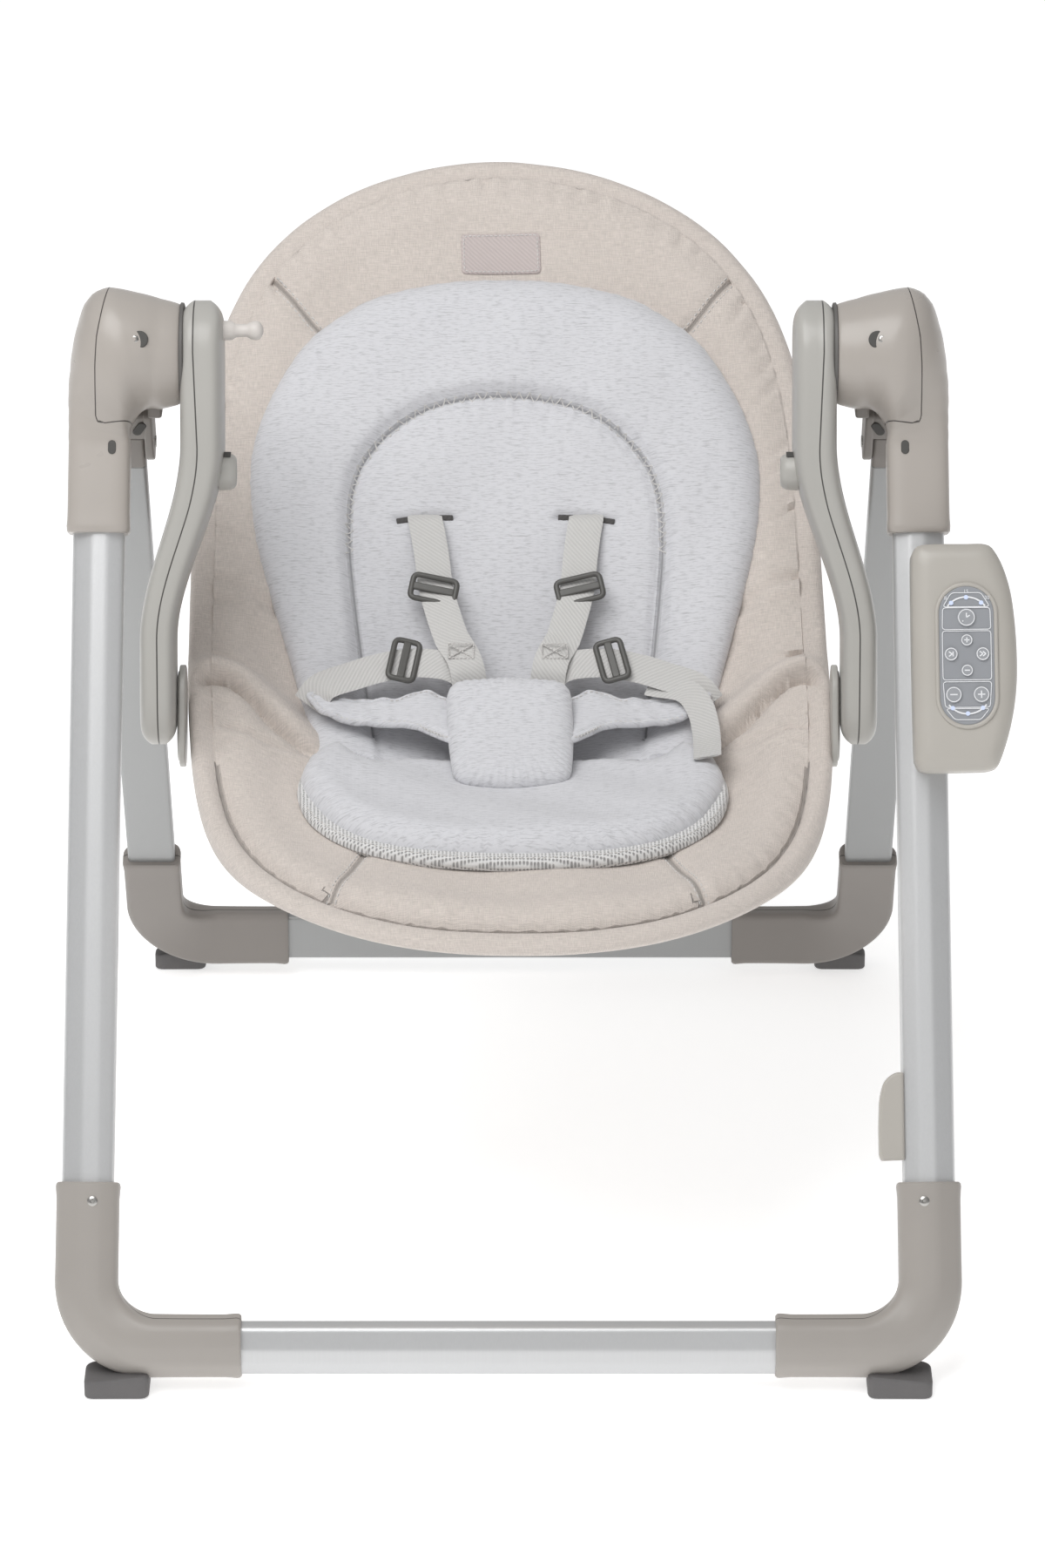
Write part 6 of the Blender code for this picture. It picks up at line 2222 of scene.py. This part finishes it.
@dataclass
class SwingArm:
    """An arm from the hub's axis down to the seat's side: two half shells with a part line between them.

    Attributes:
        foot: The place (Y, Z) of the lower end's middle.
        radii: Half the width seen from the side, at the top and at the foot.
        halves: Half the thickness at the top and at the foot.
        top_x: The middle's X above the flare.
        foot_x: The middle's X below it.
        flare: The heights where the flare starts and ends.
        split: How far out the part line is from the middle, at the top and at the foot.
    """

    foot: tuple[float, float] = (-0.0850, 0.3880)
    radii: tuple[float, float] = (0.0350, 0.0290)
    halves: tuple[float, float] = (0.0142, 0.0118)
    top_x: float = 0.2020
    foot_x: float = 0.2315
    flare: tuple[float, float] = (0.5450, 0.4250)
    split: tuple[float, float] = (0.0048, 0.0004)

    def build(self) -> None:
        """Makes both arms with their clips, the side plates, and the peg of the toy bar."""
        for side in Side:
            self.skin(side)
            self.clip(side)
            self.plate(side)
        self.peg()

    def middle_x(self, height: Array) -> Array:
        """The arm's middle, moving outwards smoothly through the flare."""
        return self.top_x + (self.foot_x - self.top_x) * smooth_step(-height, -self.flare[0], -self.flare[1])

    def skin(self, side: Side) -> None:
        """The arm's surface.

        Rows run down the middle line from one round end to the other; each row is a superellipse of power 4
        whose width follows a circle at the ends, and the shell on the seat's side of the part line sits a
        little inside the outer one.

        Args:
            side: The side that it is made for.
        """
        start, end = np.array((0.0, HUB_HEIGHT)), np.array(self.foot)
        length = float(np.linalg.norm(end - start))
        way = (end - start) / length
        square = np.array((-way[1], way[0])) * -1.0
        bow = np.linspace(-np.pi / 2, 0.0, 16)
        straight = np.linspace(0.002, length - 0.002, 60)
        run = np.r_[self.radii[0] * np.sin(bow), straight, length - self.radii[1] * np.sin(bow[::-1])]
        share = np.clip(run / length, 0, 1)
        radius = self.radii[0] + (self.radii[1] - self.radii[0]) * smooth_step(share, 0.0, 0.9)
        over = np.where(run < 0, run / self.radii[0],
                        np.where(run > length, (run - length) / self.radii[1], 0.0))
        cap = np.sqrt(np.clip(1 - over**2, 0, 1))
        thick = np.interp(share, (0, 0.35, 0.75, 1), (self.halves[0], self.halves[0], self.halves[1],
                                                      self.halves[1]))
        thick = thick * np.clip(1 - 0.62 * np.abs(over) ** 6, 0.1, 1)
        ring = blunt_ring(radius * cap + 1e-5, thick, np.full(len(run), 4.4), 88)
        centre = start + np.clip(run, -1, length + 1)[:, None] * way
        yz = centre[:, None] + ring[..., :1] * square
        middle = self.middle_x(np.clip(centre[:, 1], self.flare[1] - 0.2, HUB_HEIGHT))[:, None]
        x = middle + ring[..., 1]
        split = np.interp(share, (0.0, 0.45, 1.0), (self.split[0], self.split[1],
                                                    self.split[1] - 0.001))[:, None]
        seam = x - middle - split
        inner_step = 0.0006 * (seam < 0)
        yz = centre[:, None] + ring[..., :1] * square * (1 - inner_step[..., None] / radius[:, None, None])
        points = np.concatenate((x[..., None], yz), axis=-1)
        points = np.concatenate((points[:1].mean(axis=1, keepdims=True).repeat(88, 1), points,
                                 points[-1:].mean(axis=1, keepdims=True).repeat(88, 1)))
        seam = np.concatenate((seam[:1] * 0 + 1, seam, seam[:1] * 0 + 1))
        nodes = [f"{side.word}_arm_inner", f"{side.word}_arm_outer"]
        patch = Patch(points, seam=seam).mirrored(side)
        add_piece(f"{side.word}_arm_shell", patch, ARM_GREY, Body.SWING, nodes, 50.0)

    def clip(self, side: Side) -> None:
        """The round toy-bar socket inside the arm, with a square slot in its top drawn as a dark slab of
        painted shade.

        Args:
            side: The side that it is made for.
        """
        x = float(self.middle_x(np.array(0.529))) - self.halves[0] + 0.002
        profile = [(0.0, 0.0), (0.0, 0.0125), (0.0075, 0.0120), (0.0102, 0.0108), (0.0115, 0.0088),
                   (0.0108, 0.0070), (0.0080, 0.0066), (0.0080, 0.0)]
        socket = turned(profile, (x, -0.0300, 0.5290), (-1.0, 0.0, 0.0), 48).mirrored(side)
        add_piece(f"{side.word}_toy_bar_socket", socket, ARM_GREY, Body.SWING)
        corners = [(-0.0032, -0.0040), (0.0032, -0.0040), (0.0032, 0.0040), (-0.0032, 0.0040)]
        # A dark slab in the socket's slot: painted shade inside it.
        hole = slab(rounded(corners, 0.0008, 3), -0.0004, 0.0004, (0.0002,) * 3, (0.0002,) * 3)
        axes = np.array(((1.0, 0.0, 0.0), (0.0, 1.0, 0.0), (0.0, 0.0, 1.0)))
        place = np.array((x - 0.0048, -0.0300, 0.5290 + 0.0122))
        add_piece(f"{side.word}_socket_slot", hole.moved(axes, place).mirrored(side), RECESS_SHADE,
                  Body.SWING)

    def plate(self, side: Side) -> None:
        """The seat's side plate behind the arm: a stadium with a pressed rib round it.

        Args:
            side: The side that it is made for.
        """
        lean = math.radians(28.0)
        outline = stadium(0.0200, 0.0340, 22)
        plate = slab(outline, -0.0021, 0.0021, (0.0012, 0.0012, 0.0010), (0.0012, 0.0012, 0.0010),
                     crown=0.0008)
        rib = loop_bar(np.concatenate((stadium(0.0150, 0.0290, 22), np.full((46, 1), 0.0021)), axis=1),
                       0.0011)
        axes = np.array(((0.0, math.cos(lean), -math.sin(lean)), (0.0, math.sin(lean), math.cos(lean)),
                         (1.0, 0.0, 0.0)))
        place = np.array((0.2162, -0.0760, 0.3730))
        patches = [patch.moved(axes, place).mirrored(side) for patch in (plate, rib)]
        name = f"{side.word}_seat_plate"
        add_piece(f"{name}_pressing", patches, ARM_GREY, Body.SWING, [name])

    def peg(self) -> None:
        """The turned peg at the top of the left arm that the toy bar plugs on."""
        low, high = (np.array(corner) - HUB_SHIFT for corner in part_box("toy_bar_peg"))
        profile = [(-0.004, 0.0), (-0.004, 0.0066), (0.0050, 0.0064), (0.0072, 0.0050), (0.0085, 0.0043),
                   (0.0150, 0.0042), (0.0168, 0.0052), (0.0190, 0.0061), (0.0215, 0.0064), (0.0238, 0.0056),
                   (0.0252, 0.0036), (0.0260, 0.0014), (0.0260, 0.0)]
        start = np.array((low[0], (low[1] + high[1]) / 2, (low[2] + high[2]) / 2))
        peg = turned(profile, start, (1.0, 0.0, 0.0), 40)
        add_piece("toy_bar_peg_turning", peg, PEG_WARM, Body.SWING, ["toy_bar_peg"], 60.0)


@dataclass
class ControlBox:
    """The music and timer box on the right leg, with its panel of keys.

    Attributes:
        centre_x: The panel's middle.
        start: Where the box starts down the leg.
        end: Where it ends.
        back: How far forward of the leg's middle its back is.
        split: How far forward the part line is.
        front: How far forward its face is.
        panel: Half the panel's width and length.
    """

    centre_x: float = 0.2985
    start: float = 0.1310
    end: float = 0.2790
    back: float = 0.0125
    split: float = 0.0240
    front: float = 0.0420
    panel: tuple[float, float] = (0.0180, 0.0455)

    def __post_init__(self) -> None:
        """Finds the panel's middle on the leg's axes."""
        middle = (self.start + self.end) / 2
        self.side = self.centre_x - float(FRONT_LINE.at(0.0, 0.0, middle)[0])
        self.middle = middle
        self.axes = FRONT_LINE.axes()

    def place(self, x: float = 0.0, up: float = 0.0, front: float = 0.0) -> Array:
        """A point given from the panel's middle: outwards, up the leg, and forward of the face."""
        return FRONT_LINE.at(self.side + x, self.front + front, self.middle - up)

    def build(self) -> None:
        """Makes the shells, the panel, its marks, the keys and the storage catch."""
        self.shells()
        self.face()
        self.keys()
        self.catch()

    def shells(self) -> None:
        """The box: a D-shaped outline with a broad soft bevel in front, and its part line."""
        knots = [
            (-0.0345, -0.0600), (-0.0350, 0.0000), (-0.0348, 0.0580), (-0.0335, 0.0690), (-0.0270, 0.0738),
            (0.0000, 0.0742), (0.0140, 0.0738), (0.0200, 0.0690), (0.0262, 0.0560), (0.0308, 0.0370),
            (0.0332, 0.0080), (0.0328, -0.0200), (0.0288, -0.0450), (0.0215, -0.0680), (0.0160, -0.0738),
            (0.0000, -0.0748), (-0.0270, -0.0745), (-0.0332, -0.0700),
        ]
        outline = flowing(knots, 160, closed=True)
        depth = self.front - self.back
        body = slab(outline, -depth, -0.0004, (0.003, 0.003, 0.004), (0.0125, 0.0125, 0.0095), 0.0004, 12)
        body.seam = body.points[..., 2] + (self.front - self.split)
        patch = body.moved(self.axes, self.place())
        nodes = ["control_box_front", "control_box_back"]
        add_piece("control_box_shell", patch, BOX_GREY, Body.FRONT, nodes, 50.0)

    def face(self) -> None:
        """The panel with its raised rim, thin printed fields, arcs of lights and marks."""
        half = self.panel
        outline = stadium(half[0], half[1], 28)
        panel = slab(outline, -0.0030, 0.0006, (0.0005,) * 3, (0.0008, 0.0008, 0.0006))
        add_piece("control_panel_film", panel.moved(self.axes, self.place()), PANEL_GREY, Body.FRONT,
                  ["control_panel"])
        rim_path = np.concatenate((stadium(half[0] + 0.0012, half[1] + 0.0012, 28),
                                   np.full((58, 1), 0.0002)), axis=1)
        rim = loop_bar(rim_path, 0.0014, np.array((0.0, 0.0, 1.0)), 0.8).moved(self.axes, self.place())
        add_piece("control_panel_rim", rim, BOX_GREY, Body.FRONT)
        marks = []
        for low, high in ((0.0318, 0.0410), (0.0170, 0.0312), (-0.0160, 0.0160), (-0.0340, -0.0172),
                          (-0.0420, -0.0348)):
            marks.append(self.field_outline(low, high))
        for sign in (1.0, -1.0):
            angle = np.linspace(0.62, np.pi - 0.62, 25)
            arc = np.stack((0.0150 * np.cos(angle), sign * (0.0240 + 0.0142 * np.sin(angle))), axis=-1)
            marks.append(self.printed(arc, 0.0011))
        add_piece("panel_print", [mark.moved(self.axes, self.place()) for mark in marks], INK_WHITE,
                  Body.FRONT)
        lights = []
        for sign in (1.0, -1.0):
            for x, up in ((-0.0098, 0.0344), (0.0, 0.0380), (0.0098, 0.0344)):
                dot = [(0.0, 0.0), (0.0, 0.0015), (0.0003, 0.0014), (0.0004, 0.0)]
                lights.append(turned(dot, (x, sign * up, 0.0010), (0, 0, 1),
                                     20).moved(self.axes, self.place()))
        glow = PrintedInk("panel_lights", (0.55, 0.62, 0.80), glow=0.25)
        add_piece("panel_light_windows", lights, glow, Body.FRONT)
        self.numbers()

    def numbers(self) -> None:
        """The minutes beside the three upper lights."""
        for number, (word, x, up) in enumerate((("8", -0.0135, 0.0375), ("15", 0.0, 0.0418),
                                                ("30", 0.0135, 0.0375))):
            text = bpy.data.curves.new(f"minutes_{number}", "FONT")
            text.body, text.size, text.align_x, text.align_y = word, 0.0034, "CENTER", "CENTER"
            text.extrude = 0.0001
            carrier = bpy.data.objects.new(f"minutes_{number}", text)
            bpy.context.scene.collection.objects.link(carrier)
            mesh = bpy.data.meshes.new_from_object(carrier)
            bpy.data.objects.remove(carrier)
            points = np.empty(len(mesh.vertices) * 3, np.float32)
            mesh.vertices.foreach_get("co", points)
            points = points.reshape(-1, 3) + (x, up, 0.0012)
            points = points @ self.axes + self.place() + HUB_SHIFT
            mesh.vertices.foreach_set("co", points.astype(np.float32).ravel())
            mesh.materials.clear()
            mesh.materials.append(INK_WHITE.material())
            obj = bpy.data.objects.new(f"panel_minutes_{number}", mesh)
            bpy.context.scene.collection.objects.link(obj)
            enlist(obj, Body.FRONT, ())

    def printed(self, path: Array, width: float) -> Patch:
        """A thin printed stroke along a flat path.

        Args:
            path: The stroke's middle line.
            width: The stroke's width.

        Returns:
            The stroke.
        """
        centres = np.concatenate((path, np.full((len(path), 1), 0.0011)), axis=1)
        ahead = unit(np.gradient(centres, axis=0))
        up = np.array((0.0, 0.0, 1.0))
        half = width / 2
        section = np.array(((-half, 0.0), (-half * 0.8, 0.00015), (half * 0.8, 0.00015), (half, 0.0)))
        return swept(section, centres, unit(np.cross(ahead, up)), up, edge=0.00005)

    def field_outline(self, low: float, high: float) -> Patch:
        """The thin line round one group of keys, kept inside the panel's round ends.

        Args:
            low: The field's lower edge.
            high: The field's upper edge.

        Returns:
            The line.
        """
        def half_at(up: float) -> float:
            """Half the panel's width at a height, less a margin."""
            over = max(abs(up) - (self.panel[1] - self.panel[0]), 0.0)
            return math.sqrt(max(self.panel[0] ** 2 - over**2, 1e-6)) - 0.0022

        corners = [(-half_at(low), low), (half_at(low), low), (half_at(high), high), (-half_at(high), high)]
        path = rounded(corners, 0.0022, 5)
        path = np.concatenate((path, np.full((len(path), 1), 0.0011)), axis=1)
        return loop_bar(path, 0.00028, np.array((0.0, 0.0, 1.0)), 0.5)

    def keys(self) -> None:
        """The seven keys, each a shallow dome with a white ring and a sign, which move on their own."""
        layout = {
            "timer_key": ("clock", 0.0, 0.0248, 0.0060), "volume_up_key": ("plus", 0.0, 0.0100, 0.0038),
            "play_key": ("play", -0.0103, 0.0009, 0.0044), "next_key": ("next", 0.0103, 0.0009, 0.0044),
            "volume_down_key": ("minus", 0.0, -0.0098,
                                0.0038), "slower_key": ("minus", -0.0090, -0.0256, 0.0054),
            "faster_key": ("plus", 0.0090, -0.0256, 0.0054),
        }
        for name, (sign, x, up, radius) in layout.items():
            profile = [(-0.0006, 0.0), (-0.0006, radius), (0.0014, radius), (0.0018, radius - 0.0004),
                       (0.0019, radius * 0.6), (0.0020, 0.0)]
            key = turned(profile, (x, up, 0.0), (0, 0, 1), 40).moved(self.axes, self.place())
            obj = add_piece(f"{name}_cap", key, KEY_GREY, None, [name])
            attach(obj, name)
            marks = [patch.moved(self.axes, self.place()) for patch in self.sign(sign, x, up, radius)]
            obj = add_piece(f"{name}_sign", marks, INK_WHITE, None)
            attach(obj, name)

    def sign(self, kind: str, x: float, up: float, radius: float) -> list[Patch]:
        """A key's ring and sign.

        Args:
            kind: clock, plus, minus, play or next.
            x: The key's place outwards of the panel's middle.
            up: Its place up from it.
            radius: The key's radius.

        Returns:
            Thin strokes just above the key.
        """
        angle = np.linspace(0, 2 * np.pi, 40, endpoint=False)
        circle = np.stack((np.cos(angle), np.sin(angle), 0 * angle), axis=-1)
        here = np.array((x, up, 0.0020))
        upward = np.array((0.0, 0.0, 1.0))
        ring = loop_bar(circle * radius * 0.86 + here, 0.00030, upward, 0.5)
        arm = radius * 0.45
        strokes = {
            "plus": [[(-arm, 0), (arm, 0)], [(0, -arm), (0, arm)]],
            "minus": [[(-arm, 0), (arm, 0)]],
            "clock": [[(0, 0), (0, arm * 1.1)], [(0, 0), (arm * 0.8, arm * 0.5)],
                      [(-arm, -arm), (-arm * 0.8, -arm * 0.8)]],
            "play": [[(-arm * 0.8, -arm * 0.8), (arm * 0.3, 0), (-arm * 0.8, arm * 0.8)],
                     [(arm * 0.6, -arm * 0.8), (arm * 0.6, arm * 0.8)]],
            "next": [[(-arm, -arm * 0.8), (0, 0), (-arm, arm * 0.8)],
                     [(0, -arm * 0.8), (arm, 0), (0, arm * 0.8)]],
        }[kind]
        lines = [even(np.array(stroke, float), 12) for stroke in strokes]
        marks = [self.printed(line, 0.0008).moved(np.eye(3), np.array((x, up, 0.0009))) for line in lines]
        return [ring, *marks]

    def catch(self) -> None:
        """The D-shaped storage catch low on the right leg."""
        low, high = (np.array(corner) - HUB_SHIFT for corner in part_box("storage_catch"))
        centre = (low + high) / 2
        gap = centre - np.array(FRONT_LINE.top)
        side, front, reach = (float(gap @ axis) for axis in (FRONT_LINE.side, FRONT_LINE.front,
                                                             FRONT_LINE.down))
        knots = [(0.0080, -0.0285), (0.0080, 0.0285), (0.0030, 0.0290), (-0.0045, 0.0240), (-0.0078, 0.0120),
                 (-0.0086, -0.0060), (-0.0086, -0.0255), (-0.0070, -0.0290)]
        outline = rounded(knots, (0.001, 0.001, 0.003, 0.005, 0.005, 0.005, 0.002, 0.001), 6)
        body = slab(outline, -0.0075, 0.0075, (0.002, 0.002, 0.002), (0.0025, 0.0025, 0.0022))
        patch = body.moved(FRONT_LINE.axes(), FRONT_LINE.at(side, front, reach))
        add_piece("storage_catch_hook", patch, BOX_GREY, Body.FRONT, ["storage_catch"])


@dataclass
class SeatFrame:
    """The bent rails under the fabric, and the recline lever behind the back."""

    radius: float = 0.0078
    inset: float = 0.045
    drop: float = 0.0220

    def build(self) -> None:
        """Makes both rails and the lever."""
        outline = SEAT.outline(600)
        ahead = unit(np.roll(outline, -1, axis=0) - np.roll(outline, 1, axis=0))
        inner = outline + np.stack((-ahead[:, 1], ahead[:, 0]), axis=-1) * self.inset
        for name, body, keep in (
            ("seat_rail", Body.SWING, inner[:, 1] < -0.030),
            ("back_rail", Body.BACKREST, inner[:, 1] > 0.075),
        ):
            start = int(np.flatnonzero(keep & ~np.roll(keep, 1))[0])
            path = even(np.roll(inner, -start, axis=0)[: int(keep.sum())], 140)
            drop = self.drop * (1 - 0.42 * smooth_step(-path[:, 1], 0.14, 0.27))
            centres = SEAT.place(path[:, 0], path[:, 1], -drop - self.radius)
            forward = unit(np.gradient(centres, axis=0))
            up = SEAT.normal(path[:, 0], path[:, 1])
            across = unit(np.cross(forward, up))
            angle = np.linspace(0, 2 * np.pi, 20, endpoint=False)
            ring = self.radius * np.stack((np.cos(angle), np.sin(angle)), axis=-1)
            bar = swept(ring, centres, across, np.cross(across, forward), 0.001)
            # The rails take the darker tube: painted shade under the fabric.
            add_piece(f"{name}_tube", bar, SHADED_TUBE, body, [name])
        self.lever()

    def lever(self) -> None:
        """The recline lever: a grip bar with finger grooves."""
        low, high = (np.array(corner) - HUB_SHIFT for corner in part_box("recline_lever"))
        centre = (low + high) / 2
        turn = math.radians(47.5)
        axes = np.array(((1, 0, 0), (0, math.cos(turn), math.sin(turn)),
                         (0, -math.sin(turn), math.cos(turn))))
        corners = [(-0.045, -0.018), (0.045, -0.018), (0.045, 0.018), (-0.045, 0.018)]
        body = slab(rounded(corners, 0.008, 8), -0.005, 0.005, (0.003, 0.003, 0.003), (0.003, 0.003, 0.003))
        wave = 1 - 0.10 * (1 + np.cos(body.points[..., 0] / 0.0095 * np.pi)) * (body.points[..., 1] < 0)
        body.points[..., 1] = body.points[..., 1] * wave
        obj = add_piece("recline_grip", body.moved(axes, centre), ELBOW_DARK, None,
                        ["recline_lever"])
        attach(obj, "recline_lever")


def main() -> None:
    """Builds the swing, part by part."""
    logging.basicConfig(level=logging.INFO, format="%(name)s %(message)s")
    Studio().build()
    dress_packed_nodes()
    for part in (TubeFrame(), Hub(), SwingArm(), ControlBox(), SeatFrame(), SeatCover(), SeatLiner(),
                 Harness()):
        LOG.info("building %s", type(part).__name__)
        part.build()


if __name__ == "__main__":
    main()
